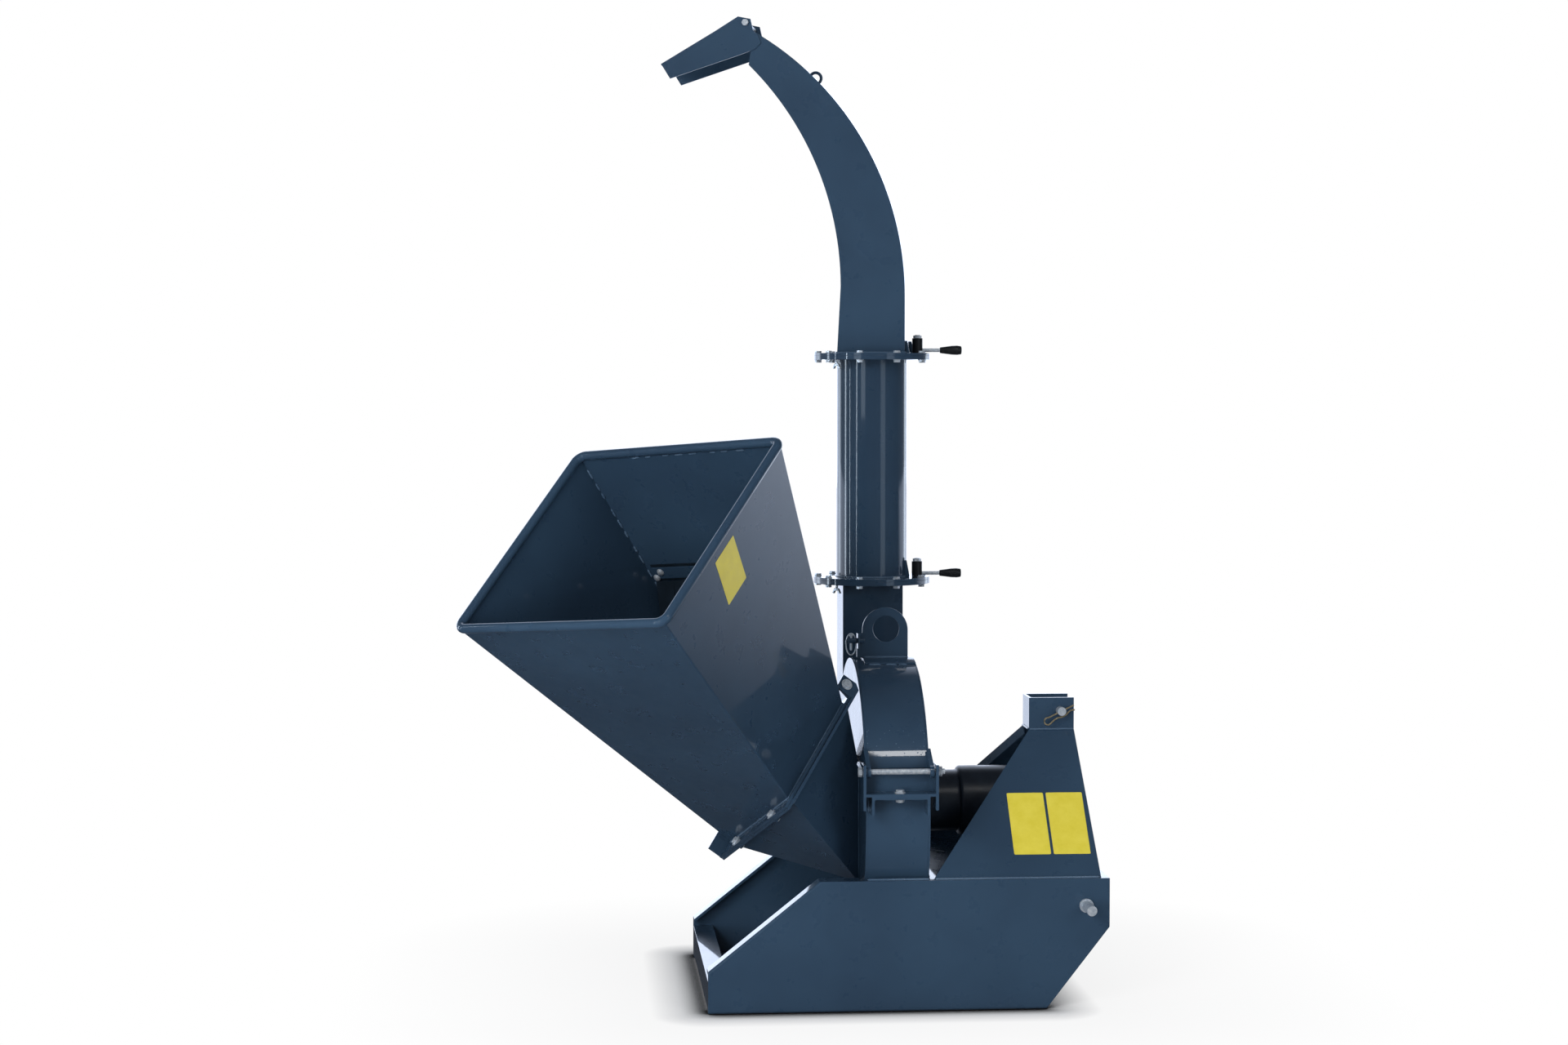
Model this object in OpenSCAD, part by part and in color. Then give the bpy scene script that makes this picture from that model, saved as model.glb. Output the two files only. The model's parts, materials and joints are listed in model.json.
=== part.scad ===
// Disc wood chipper for a tractor's three-point linkage.
// The origin is on the ground, under the rotor axis, in the middle of the rotor housing.
// +X points to the tractor, +Y to the discharge side, +Z up. All sizes are in millimetres.

/* [Base frame] */
// Gap between the rotor housing and each side panel
side_gap = 4; // [2:1:20]
// How far the frame reaches behind the rotor housing
base_rear = 406; // [390:2:430]
// How far the frame reaches in front of the rotor housing
base_front = 454; // [446:2:480]
// Height of the frame's top edge
deck_h = 280; // [270:2:290]
// Height of the frame at its low rear end
rear_end_h = 90; // [80:2:110]
// Where the sloping top edge reaches full height, behind the rotor
slope_end = 168; // [150:2:180]
// Height at which the front lower corner is cut off
toe_h = 175; // [150:5:190]
// Where the cut front corner meets the ground
toe_x = 318; // [300:2:330]
// Thickness of the frame's side panels
panel_t = 6; // [5:0.5:8]
// Width of the lips folded inwards along the panels' edges
lip_w = 40; // [30:2:50]
// Thickness of the deck plate and the cross-members
deck_t = 5; // [4:0.5:6]

/* [Hitch] */
// Diameter of the lower hitch pins
lower_pin_d = 22; // [20:0.5:24]
// Length of a lower hitch pin outside its collar
lower_pin_len = 62; // [55:1:75]
// Height of the lower hitch pins
lower_pin_z = 222; // [210:2:232]
// Position of the lower hitch pins along the frame
lower_pin_x = 403; // [395:1:408]
// Diameter of the top link pin
top_pin_d = 19; // [16:0.5:20]
// Height of the top link pin
top_pin_z = 608; // [600:1:614]
// Position of the top link pin along the frame
top_pin_x = 395; // [385:1:400]
// Rear face of the top link channel
mast_x = 325; // [315:1:330]
// Length of the top link channel
mast_len = 101; // [96:1:110]
// Gap inside the top link channel
mast_gap = 74; // [66:1:80]
// Height of the top link channel's top edge
mast_top = 637; // [632:1:650]
// Height at which the leaning mast plates end
mast_bend = 566; // [556:1:572]
// Rear foot of a mast plate
mast_foot_rear = 76; // [76:2:90]
// Front foot of a mast plate
mast_foot_front = 437; // [430:1:444]
// Thickness of the mast plates
mast_t = 6; // [5:0.5:8]

/* [Rotor housing] */
// Height of the rotor axis
axis_z = 404; // [400:1:410]
// Outside radius of the rotor housing
housing_r = 320; // [318:1:322]
// Outside width of the rotor housing
housing_w = 138; // [134:1:146]
// Thickness of the housing sheet
sheet_t = 4; // [3:0.5:5]
// Height at which the upper housing lifts off the lower one
split_z = 517; // [512:1:520]
// Height of the rotor housing's hinge rod
hinge_z = 516; // [515:0.5:518]
// Distance of the hinge rod from the housing wall
hinge_out = 30; // [28:1:34]
// Diameter of the hinge rod
hinge_rod_d = 12; // [10:0.5:14]

/* [Rotor] */
// Gap between the rotor disc and the inside of the housing
disc_gap = 16; // [14:1:20]
// Thickness of the rotor disc
disc_t = 20; // [18:1:22]
// Width of the fan paddles
paddle_w = 70; // [60:1:76]
// Number of knives and of fan paddles
knife_count = 4; // [2:1:4]
// Length of a knife
knife_len = 190; // [180:2:196]
// Diameter of the rotor shaft in its bearings
shaft_d = 35; // [35:0.5:38]
// Diameter of the splined drive stub
stub_d = 34.9; // [34.9:0.1:35]
// Outside radius of the drive guard's bell
guard_r = 77; // [75:1:82]
// Length of the drive guard
guard_len = 217; // [210:1:225]

/* [Feed hopper] */
// Distance of the feed flange's low near corner behind the rotor
flange_back = 239.4; // [237:0.2:242]
// Distance of the same corner to the near side of the rotor axis
flange_side = 372.7; // [370:0.1:375]
// Height of the same corner
flange_z = 464.4; // [462:0.2:467]
// Compass angle of the mouth's lower edge
mouth_turn = 139.3; // [138:0.1:141]
// Angle between the mouth and the ground
mouth_lean = 39.7; // [38:0.1:41]
// Angle by which the mouth's lower edge falls to the far side
mouth_tip = 4.1; // [3:0.1:5]
// Side of the square hopper mouth, over its walls
mouth = 530; // [500:5:540]
// Diameter of the tube around the mouth
rim_d = 20; // [18:1:24]
// Thickness of the hopper sheet
hopper_t = 3; // [2:0.5:4]
// Depth from the mouth to the near edge of the flange
near_depth = 694; // [685:1:700]
// Depth from the mouth to the far edge of the flange
far_depth = 899; // [890:1:905]
// Distance by which the near wall draws in, at the flange
near_draw = 173; // [165:1:185]
// Distance by which the far wall draws in, at the flange
far_draw = 63; // [55:1:70]
// Thickness of each feed flange
feed_flange_t = 6; // [5:0.5:8]
// Width of the feed opening in the housing
feed_w = 96; // [90:1:98]
// Height of the feed opening in the housing
feed_h = 251; // [240:1:251]

/* [Discharge] */
// Centre of the discharge pipe, across the housing
pipe_x = 4; // [0:0.5:6]
// Outside diameter of the discharge pipe
pipe_d = 162; // [156:1:164]
// Wall of the discharge pipe
pipe_t = 3; // [2:0.5:4]
// Diameter of the swivel flanges
flange_d = 268; // [264:1:276]
// Underside of the lower swivel
lower_swivel_z = 876; // [860:1:890]
// Underside of the upper swivel
upper_swivel_z = 1390; // [1370:5:1420]
// Number of bolts in each swivel
swivel_bolts = 9; // [6:1:10]
// Inside width of the chute
chute_w = 144; // [136:1:146]
// Radius of the chute's outer curve
chute_r = 700; // [690:5:710]
// Angle that the chute's outer curve turns through
chute_arc = 59.7; // [57:0.5:61]
// Angle at which the chute stands turned about the pipe
chute_turn = 12; // [0:1:20]
// Length of the deflector from its hinge to its lip
deflector_reach = 195; // [185:1:205]

/* [Hidden] */
$fn = 64;

paint = "#33475b";
zinc = "#c4c8cc";
bare_steel = "#8d9298";
plastic = "#17191c";
rubber = "#202224";

part_gap = 0.3;
run_gap = 0.05;
bolt_hole_gap = 0.2;

// Base frame
half_base = housing_r + side_gap + panel_t;
inner_y = half_base - panel_t;
slope_run = base_rear - slope_end;
slope_rise = deck_h - rear_end_h;
cross_h = 62;
strap_w = 80;
cross_lip = 46;
collar_d = lower_pin_d + 8;
pin_nut_d = lower_pin_d + 18;
collar_t = 8;
pin_nut_t = 16;

// Mast
mast_half = mast_gap / 2 + mast_t;
mast_foot_y = half_base - 10;
mast_rise = mast_bend - deck_h;
mast_run = mast_foot_y - mast_half;
mast_lean = atan2(mast_rise, mast_run);
mast_slant = norm([mast_rise, mast_run]);
mast_lip_w = 25;
mast_lip_t = 4;
mast_lip_share = 0.42;
bracket_base_t = 5;

// Top link pin and its clip
pin_head_d = top_pin_d + 12;
pin_head_t = 8;
pin_stub = 24;
clip_y = mast_half + 17;
clip_wire = 3.6;
clip_tilt = 26;
clip_reach = 30;
clip_back = 32;
clip_spread = top_pin_d / 2 + clip_wire / 2 + 1;

// Rotor housing
half_w = housing_w / 2;
inner_r = housing_r - sheet_t;
split_t = 6;
lower_top = split_z - split_t;
upper_bottom = split_z + part_gap;
duct_depth = 137;
duct_near_y = housing_r - duct_depth;
split_chord = sqrt(pow(housing_r, 2) - pow(split_z - axis_z, 2));
split_reach = 12;
shaft_hole_r = shaft_d / 2 + 6;

// Hinge of the upper housing
hinge_y = housing_r + hinge_out;
ear_in = half_w + 5;
ear_t = 6;
ear_half = 22;
ear_low = 80;
ear_high = 16;
web_drop = 45;
channel_drop = 40;
channel_half = half_w - 7;
knuckle_t = 9;
knuckle_r = 12;

// Lifting lug and lock pin
lug_w = 102;
lug_x = 5;
lug_rise = 115;
lug_top = axis_z + housing_r + lug_rise;
lug_y = 12;
lug_t = 8;
lug_hole_r = 29;
saddle_t = 4;
lock_y = 30;
lock_rise = 42;
lock_z = axis_z + housing_r + lock_rise;
lock_d = 12;
lock_plate_x = lug_x - lug_w / 2 - 12;

// Rotor
disc_r = inner_r - disc_gap;
rotor_disc_x = -38;
knife_t = 10;
knife_w = 66;
knife_inner = 96;
knife_bolt_r = 5;
hub_r = 60;
hub_t = 20;
paddle_t = 8;
paddle_in = 140;
paddle_out = disc_r - 5;
bearing_r = 53.5;
bearing_flange_t = 10;
bearing_boss_r = 38;
bearing_t = 26;
bearing_pcd_r = 46;
bearing_bolts = 4;
bolt_r = 4;
guard_t = 3;
guard_step = 9;
guard_collar_len = 101;
stub_len = 80;
shaft_front = half_w + bearing_t + 3;
shaft_rear = half_w + guard_len - 18;
spline_root_r = 14.8;
spline_w = 8.7;

// Feed opening and hopper
feed_y = 66;
feed_top = split_z - 12;
feed_low = feed_top - feed_h;
bed_knife_h = 13;
bed_knife_gap = 2.5;
floor_rise = 0.288;
roof_drop = 0.0664;
along = [cos(mouth_tip) * cos(mouth_turn), cos(mouth_tip) * sin(mouth_turn), -sin(mouth_tip)];
level = [sin(mouth_turn), -cos(mouth_turn), 0];
upward = cross(level, along);
rising = cos(mouth_lean) * level + sin(mouth_lean) * upward;
inward = cross(along, rising);
near_floor = floor_rise * near_depth;
near_roof = mouth - roof_drop * near_depth;
far_floor = floor_rise * far_depth;
far_roof = mouth - roof_drop * far_depth;
mouth_corner = [-flange_back, -flange_side, flange_z] - near_draw * along - near_floor * rising
    - near_depth * inward;
rim_r = rim_d / 2;
rim_seat = rim_r - 2;
flange_ring = [[near_draw, near_floor, near_depth], [near_draw, near_roof, near_depth],
    [mouth - far_draw, far_roof, far_depth], [mouth - far_draw, far_floor, far_depth]];
mouth_ring = [for (k = [0:3]) [[0, 0, 0], [0, mouth, 0], [mouth, mouth, 0], [mouth, 0, 0]][k]
    * (1 - rim_seat / flange_ring[k][2]) + flange_ring[k] * rim_seat / flange_ring[k][2]];
flange_skew = atan2(far_depth - near_depth, mouth - far_draw - near_draw);
flange_len = norm([far_depth - near_depth, mouth - far_draw - near_draw]);
flange_h = near_roof - near_floor;
flange_hole = [[0, 0], [flange_h, 0], [far_roof - near_floor, flange_len],
    [far_floor - near_floor, flange_len]];
edge_low = 28;
edge_high = 20;
edge_near = 12;
edge_far = 34;
flange_edge = [[-edge_low, -edge_near], [flange_h + edge_high, -edge_near],
    [far_roof - near_floor + edge_high, flange_len + edge_far],
    [far_floor - near_floor - edge_low, flange_len + edge_far]];
flange_gap = 0.4;
throat_top = -2 * feed_flange_t - flange_gap;

// Fold hinge of the hopper, in the flange's own plane
fold_rise = 31;
fold_x = flange_h + fold_rise;
fold_z = 17;
flange_lip_h = 38;
flange_lip_t = 5;
fold_r = 13;
ear_reach = 17;
ear_foot = 6;
ear_inner = 20;
fold_bolt_r = 5;
fold_ear_t = 6;
fold_ear_root = 10;
near_ear = -16;
far_ear = flange_len + 22;
flange_bolt_x = -14;
flange_bolt_r = 9;
weld_nut_h = 7;
flange_bolt_places = [0.24, 0.86];
loose_hole_r = 5.4;

// In-feed curtain
curtain_depth = 335;
curtain_bar_w = 42;
curtain_bar_t = 5;
curtain_t = 5;
curtain_len = 200;
curtain_side_gap = 12;
curtain_bolt_r = 5;

// Discharge
pipe_r = pipe_d / 2;
bore_r = pipe_r - pipe_t;
pipe_y = housing_r - duct_depth / 2;
flange_r = flange_d / 2;
plate_h = 5.5;
ring_t = 3;
swivel_h = 15;
ring_r = flange_r - 22;
keeper_in = 101.5;
fixed_top = swivel_h - plate_h - part_gap;
fixed_low = fixed_top - ring_t;
duct_top = lower_swivel_z + fixed_low;
bolt_circle = flange_r - 10.5;
bolt_phase = -28.7;
clamp_angle = -8.7;
clamp_r = flange_r - 29;
clamp_d = 24;
clamp_h = 34;
clamp_rod_d = 8;
clamp_rod_z = 7;
clamp_rod_len = 55;
grip_len = 50;
grip_small = 13.5;
grip_large = 21.5;
stud_r = 6;

// Chute
chute_z = upper_swivel_z + swivel_h;
chute_t = 3;
chute_out = 83;
chute_in = -72;
chute_straight = 128;
inner_r_chute = chute_r + 10;
inner_straight = 151;
inner_start = -64;
inner_arc = 45.4;
outer_centre = [chute_out - chute_r, chute_straight];
inner_centre = [inner_start - inner_r_chute, inner_straight];
outer_end = outer_centre + chute_r * [cos(chute_arc), sin(chute_arc)];
inner_end = inner_centre + inner_r_chute * [cos(inner_arc), sin(inner_arc)];
deflector_pivot = outer_end + [-19, 20];
chute_ear_r = 9;
deflector_half = chute_w / 2 + chute_t + 0.4;
deflector_t = 3;
hinge_bolt_r = 4;
loop_r = 13;
loop_wire_r = 3.5;

function unit(v) = v / norm(v);
function inset(ring, t) = [for (i = [0:3]) let (u = unit(ring[(i + 1) % 4] - ring[i]),
    v = unit(ring[(i + 3) % 4] - ring[i]), turn = cross(u, v)) ring[i] + (u + v) * t / norm([turn])];
function inset3(ring, t) = [for (i = [0:3]) let (u = unit(ring[(i + 1) % 4] - ring[i]),
    v = unit(ring[(i + 3) % 4] - ring[i])) ring[i] + (u + v) * t / norm(cross(u, v))];
function in_hopper(p) = mouth_corner + p[0] * along + p[1] * rising + p[2] * inward;

// Places children in the hopper's own axes: along the mouth, up the mouth and inward
module hopper_axes() {
    multmatrix([for (k = [0:2]) [along[k], rising[k], inward[k], mouth_corner[k]]]) children();
}

// Places children in the flange's plane: up, along, and out towards the mouth
module flange_axes() {
    hopper_axes() translate(flange_ring[0])
        multmatrix([[0, cos(flange_skew), sin(flange_skew), 0], [1, 0, 0, 0],
            [0, sin(flange_skew), -cos(flange_skew), 0]]) children();
}

// Stands a drawing of the housing, seen along the rotor axis, at x with width w
module across(x, w) {
    translate([x, 0, axis_z]) rotate([90, 0, 90]) linear_extrude(w) children();
}

// Lays a cylinder along the rotor axis from x
module x_rod(x, len, r, facets = 64) {
    translate([x, 0, 0]) rotate([0, 90, 0]) cylinder(h = len, r = r, $fn = facets);
}

// One wall between two rings of corners, with mitred ends
module ring_wall(outer_a, inner_a, outer_b, inner_b, i) {
    j = (i + 1) % 4;
    points = [outer_a[i], outer_a[j], inner_a[j], inner_a[i], outer_b[i], outer_b[j], inner_b[j], inner_b[i]];
    polyhedron(points, [[0, 5, 1], [0, 4, 5], [3, 6, 7], [3, 2, 6], [0, 2, 3], [0, 1, 2],
        [4, 6, 5], [4, 7, 6], [0, 7, 4], [0, 3, 7], [1, 6, 2], [1, 5, 6]]);
}

// A hexagon bolt along +Z: head under the origin, shank up through len, nut above it
module hex_bolt(len, r) {
    translate([0, 0, -1.3 * r]) cylinder(h = 1.3 * r, r = 1.85 * r, $fn = 6);
    cylinder(h = len + 1.5 * r, r = r, $fn = 32);
}

module hex_nut(r) {
    difference() {
        cylinder(h = 1.6 * r, r = 1.85 * r, $fn = 6);
        translate([0, 0, -1]) cylinder(h = 1.6 * r + 2, r = r, $fn = 32);
    }
}

module nut_and_bolt(len, r) {
    hex_bolt(len, r);
    translate([0, 0, len]) hex_nut(r + 0.02);
}

// Base frame

module side_outline() {
    polygon([[-base_rear, 0], [toe_x, 0], [base_front, toe_h], [base_front, deck_h], [-slope_end, deck_h],
        [-base_rear, rear_end_h]]);
}

module side_lips() {
    slope_t = panel_t * norm([slope_run, slope_rise]) / slope_run;
    top_end = -half_w - split_reach;
    polygon([[-base_rear, 0], [toe_x, 0], [toe_x, panel_t], [-base_rear, panel_t]]);
    polygon([[-base_rear, rear_end_h], [-base_rear, rear_end_h - slope_t],
        [-slope_end, deck_h - slope_t], [-slope_end, deck_h - panel_t], [top_end, deck_h - panel_t],
        [top_end, deck_h], [-slope_end, deck_h]]);
}

module side_panel() {
    difference() {
        translate([0, -inner_y, 0]) rotate([90, 0, 0]) {
            linear_extrude(panel_t) side_outline();
            translate([0, 0, -lip_w]) linear_extrude(lip_w + panel_t) side_lips();
        }
        translate([lower_pin_x, 0, lower_pin_z]) rotate([90, 0, 0])
            cylinder(h = 2 * half_base, r = lower_pin_d / 2 + run_gap);
    }
}

module side_panel_near() {
    color(paint) side_panel();
}

module side_panel_far() {
    color(paint) mirror([0, 1, 0]) side_panel();
}

module rear_cross_member() {
    color(paint) {
        translate([-base_rear, -inner_y, panel_t]) cube([deck_t, 2 * inner_y, cross_h]);
        translate([-base_rear, -inner_y, panel_t + cross_h - deck_t]) cube([cross_lip, 2 * inner_y, deck_t]);
    }
}

module front_cross_member() {
    color(paint) translate([base_front - deck_t, -inner_y, toe_h])
        cube([deck_t, 2 * inner_y, deck_h - deck_t - toe_h]);
}

module deck_plate() {
    color(paint) translate([half_w, -inner_y, deck_h - deck_t])
        cube([base_front - half_w, 2 * inner_y, deck_t]);
}

module floor_strap() {
    half_len = inner_y - lip_w;
    color(paint) translate([-strap_w / 2, -half_len, 0]) cube([strap_w, 2 * half_len, deck_t]);
}

module hitch_pin() {
    translate([lower_pin_x, -half_base, lower_pin_z]) rotate([90, 0, 0]) {
        cylinder(h = collar_t, r = collar_d / 2);
        cylinder(h = collar_t + lower_pin_len, r = lower_pin_d / 2);
        translate([0, 0, -panel_t]) cylinder(h = panel_t, r = lower_pin_d / 2);
        translate([0, 0, -panel_t - pin_nut_t]) cylinder(h = pin_nut_t, r = pin_nut_d / 2, $fn = 6);
    }
}

module lower_hitch_pins() {
    color(zinc) {
        hitch_pin();
        mirror([0, 1, 0]) hitch_pin();
    }
}

// Mast

module mast_plate() {
    edge = [mast_foot_rear - mast_x, -mast_slant];
    difference() {
        translate([0, -mast_foot_y, deck_h]) rotate([mast_lean, 0, 0]) {
            translate([0, 0, -mast_t]) linear_extrude(mast_t)
                polygon([[mast_foot_rear, 0], [mast_foot_front, 0], [mast_x + mast_len, mast_slant],
                    [mast_x, mast_slant]]);
            translate([mast_x, mast_slant, -mast_lip_w]) rotate([0, 0, atan2(edge[1], edge[0])])
                cube([norm(edge) * mast_lip_share, mast_lip_t, mast_lip_w]);
        }
        translate([0, -half_base, deck_h - 60]) cube([base_front + 60, half_base, 60]);
        translate([mast_x - 60, -mast_half - 60, mast_bend]) cube([mast_len + 120, mast_half + 60, 60]);
    }
}

module mast_plate_near() {
    color(paint) mast_plate();
}

module mast_plate_far() {
    color(paint) mirror([0, 1, 0]) mast_plate();
}

module top_link_bracket() {
    color(paint) difference() {
        translate([mast_x, -mast_half, mast_bend]) cube([mast_len, 2 * mast_half, mast_top - mast_bend]);
        translate([mast_x + mast_t, -mast_gap / 2, mast_bend + bracket_base_t])
            cube([mast_len, mast_gap, mast_top]);
        translate([top_pin_x, half_base, top_pin_z]) rotate([90, 0, 0])
            cylinder(h = 2 * half_base, r = top_pin_d / 2 + run_gap);
    }
}

module top_link_pin() {
    color(zinc) difference() {
        translate([top_pin_x, mast_half + part_gap, top_pin_z]) rotate([90, 0, 0]) {
            cylinder(h = 2 * mast_half + part_gap + pin_stub, r = top_pin_d / 2);
            translate([0, 0, -pin_head_t]) cylinder(h = pin_head_t, r = pin_head_d / 2);
        }
        translate([top_pin_x, -clip_y, top_pin_z]) rotate([0, 90 - clip_tilt, 0])
            cylinder(h = 60, r = clip_wire / 2 + run_gap, center = true, $fn = 32);
    }
}

// Spring clip: a straight leg through the pin, a loop, and a second leg beside the pin
module top_link_clip() {
    wire = clip_wire / 2;
    loop_r = clip_spread / 2;
    color("#b89a5a") translate([top_pin_x, -clip_y, top_pin_z]) rotate([0, -clip_tilt, 0]) {
        translate([-clip_back, 0, 0]) rotate([0, 90, 0]) cylinder(h = clip_back + clip_reach, r = wire, $fn = 32);
        translate([-clip_back, 0, -clip_spread]) rotate([0, 90, 0])
            cylinder(h = clip_back + clip_reach - 4, r = wire, $fn = 32);
        translate([-clip_back, 0, -loop_r]) rotate([90, 0, 0]) rotate([0, 0, 90])
            rotate_extrude(angle = 180) translate([loop_r, 0]) circle(r = wire, $fn = 32);
    }
}

// Rotor housing

module lower_outline(r) {
    intersection() {
        circle(r = r, $fn = 128);
        translate([-r, -r]) square([2 * r, r]);
    }
    translate([-r, -0.01]) square([2 * r, lower_top - axis_z + 0.01]);
}

module lower_plate_holes() {
    circle(r = shaft_hole_r);
    for (k = [0:bearing_bolts - 1]) rotate(45 + 360 * k / bearing_bolts)
        translate([bearing_pcd_r, 0]) circle(r = bolt_r + bolt_hole_gap, $fn = 32);
}

module lower_front_plate() {
    color(paint) across(-half_w, sheet_t) difference() {
        lower_outline(housing_r);
        lower_plate_holes();
        translate([-feed_y - feed_w, feed_low - axis_z]) square([feed_w, feed_h]);
    }
}

module lower_rear_plate() {
    color(paint) across(half_w - sheet_t, sheet_t) difference() {
        lower_outline(housing_r);
        lower_plate_holes();
    }
}

module lower_rim() {
    color(paint) across(-half_w + sheet_t, housing_w - 2 * sheet_t) difference() {
        lower_outline(housing_r);
        lower_outline(inner_r);
        translate([-inner_r, 0]) square([2 * inner_r, housing_r]);
    }
}

module split_flange() {
    reach = half_w + split_reach;
    color(paint) difference() {
        translate([-reach, -housing_r, lower_top]) cube([2 * reach, 2 * housing_r + split_reach, split_t]);
        translate([-half_w + sheet_t, -split_chord + 3, lower_top - 1])
            cube([housing_w - 2 * sheet_t, split_chord - 3 + inner_r, split_t + 2]);
        translate([-reach - 1, -feed_y - feed_w - 26, lower_top - 1])
            cube([split_reach + 1, feed_w + 36, split_t + 2]);
    }
}

module upper_outline() {
    low = upper_bottom - axis_z;
    intersection() {
        circle(r = housing_r, $fn = 128);
        translate([-housing_r, low]) square([2 * housing_r, housing_r]);
    }
    translate([duct_near_y, low]) square([duct_depth, duct_top - upper_bottom]);
}

module upper_front_plate() {
    color(paint) across(-half_w, sheet_t) upper_outline();
}

module upper_rear_plate() {
    color(paint) across(half_w - sheet_t, sheet_t) upper_outline();
}

module upper_rim() {
    low = upper_bottom - axis_z;
    foot = sqrt(pow(inner_r, 2) - pow(duct_near_y, 2));
    color(paint) across(-half_w + sheet_t, housing_w - 2 * sheet_t) {
        intersection() {
            difference() {
                circle(r = housing_r, $fn = 128);
                circle(r = inner_r, $fn = 128);
            }
            translate([-housing_r, low]) square([housing_r + duct_near_y, housing_r]);
        }
        translate([duct_near_y, foot]) square([sheet_t, duct_top - axis_z - foot]);
        translate([inner_r, low]) square([sheet_t, duct_top - upper_bottom]);
    }
}

// Ears, back plate and web carry the hinge rod; a channel welded to the wall carries the web
module hinge_bracket() {
    color(paint) {
        difference() {
            union() {
                for (side = [-1, 1]) translate([side * (ear_in + ear_t / 2), 0, 0])
                    translate([-ear_t / 2, -hinge_y - ear_half, hinge_z - ear_low])
                        cube([ear_t, hinge_out + ear_half, ear_low + ear_high]);
                translate([-ear_in - 1, -housing_r - ear_t, hinge_z - web_drop])
                    cube([2 * ear_in + 2, ear_t, web_drop - 8]);
                translate([-ear_in - 1, -hinge_y - ear_half, hinge_z - web_drop - ear_t])
                    cube([2 * ear_in + 2, hinge_out + ear_half, ear_t]);
            }
            translate([-ear_in - ear_t - 1, -hinge_y, hinge_z]) x_rod(0, 2 * ear_in + 2 * ear_t + 2,
                hinge_rod_d / 2 + run_gap);
            translate([0, -hinge_y, hinge_z - web_drop - ear_t - 1]) cylinder(h = ear_t + 2, r = 5.2);
        }
        difference() {
            translate([-channel_half, -hinge_y - ear_half, hinge_z - web_drop - ear_t - channel_drop])
                cube([2 * channel_half, hinge_out + ear_half, channel_drop]);
            translate([-channel_half + ear_t, -hinge_y - ear_half - 1,
                hinge_z - web_drop - 2 * ear_t - channel_drop])
                cube([2 * channel_half - 2 * ear_t, hinge_out + ear_half + 2, channel_drop]);
            translate([0, -hinge_y, hinge_z - web_drop - 3 * ear_t]) cylinder(h = 30, r = 5.2);
        }
    }
}

module knuckle_outline() {
    difference() {
        union() {
            translate([-hinge_y, hinge_z - axis_z]) circle(r = knuckle_r);
            polygon([[-hinge_y, hinge_z - axis_z + knuckle_r], [-hinge_y - 4, hinge_z - axis_z - knuckle_r + 3],
                [-hinge_y + knuckle_r, hinge_z - axis_z - 2], [-housing_r - 2, upper_bottom - axis_z],
                [-split_chord + 8, upper_bottom - axis_z], [-split_chord + 8, upper_bottom - axis_z + 40]]);
        }
        circle(r = housing_r, $fn = 128);
        translate([-hinge_y, hinge_z - axis_z]) circle(r = hinge_rod_d / 2 + run_gap);
    }
}

module hinge_knuckle() {
    color(paint) for (x = [-ear_in + 2, ear_in - 2 - knuckle_t]) across(x, knuckle_t) knuckle_outline();
}

module hinge_rod() {
    end = ear_in + ear_t;
    color(zinc) translate([0, -hinge_y, hinge_z]) {
        x_rod(-end - 1, 2 * end + 16, hinge_rod_d / 2);
        x_rod(-end - 9, 8, hinge_rod_d * 0.9, 6);
        translate([end + part_gap, 0, 0]) rotate([0, 90, 0]) difference() {
            cylinder(h = 9, r = hinge_rod_d * 0.9, $fn = 6);
            translate([0, 0, -1]) cylinder(h = 11, r = hinge_rod_d / 2);
        }
    }
}

module lifting_lug() {
    round_z = lug_top - lug_w / 2;
    color(paint) {
        difference() {
            translate([0, -lug_y, 0]) rotate([90, 0, 0]) linear_extrude(lug_t) difference() {
                union() {
                    translate([lug_x, round_z]) circle(r = lug_w / 2);
                    translate([lug_x - lug_w / 2, axis_z + inner_r]) square([lug_w, round_z - axis_z - inner_r]);
                    translate([lock_plate_x, lock_z - 40]) square([20, 56]);
                }
                translate([lug_x + 2, round_z + 3]) circle(r = lug_hole_r);
            }
            across(-housing_w, 2 * housing_w) circle(r = housing_r + saddle_t, $fn = 128);
        }
        across(lug_x - lug_w / 2, lug_w + 12) intersection() {
            difference() {
                circle(r = housing_r + saddle_t, $fn = 128);
                circle(r = housing_r, $fn = 128);
            }
            translate([-lug_w / 2 - 19, 0]) square([lug_w - 12, 2 * housing_r]);
        }
        difference() {
            translate([lock_plate_x, -lock_y - 14, lock_z - 18]) cube([4, lock_y + 14 - lug_y - lug_t, 34]);
            translate([0, -lock_y, lock_z]) x_rod(lock_plate_x - 10, 30, lock_d / 2 + run_gap);
        }
    }
}

// Pull-out pin with an oval spring ring
module lock_pin() {
    ring_x = lock_plate_x - 14;
    ring_r = 8;
    ring_len = 28;
    color(zinc) translate([0, -lock_y, lock_z]) {
        difference() {
            x_rod(lock_plate_x - 24, 40, lock_d / 2);
            translate([ring_x, 0, 0]) cylinder(h = 30, r = 2.5 + run_gap, center = true, $fn = 32);
        }
        translate([ring_x, 0, -22]) cylinder(h = 36, r = 2.5, $fn = 32);
        translate([ring_x, 0, -8]) {
            for (end = [-1, 1]) translate([0, 0, end * ring_len / 2]) rotate([90, 0, 0])
                rotate([0, 0, end > 0 ? 0 : 180]) rotate_extrude(angle = 180)
                    translate([ring_r + 2, 0]) circle(r = 1.4, $fn = 32);
            for (side = [-1, 1]) translate([side * (ring_r + 2), 0, -ring_len / 2])
                cylinder(h = ring_len, r = 1.4, $fn = 32);
        }
    }
}

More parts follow.
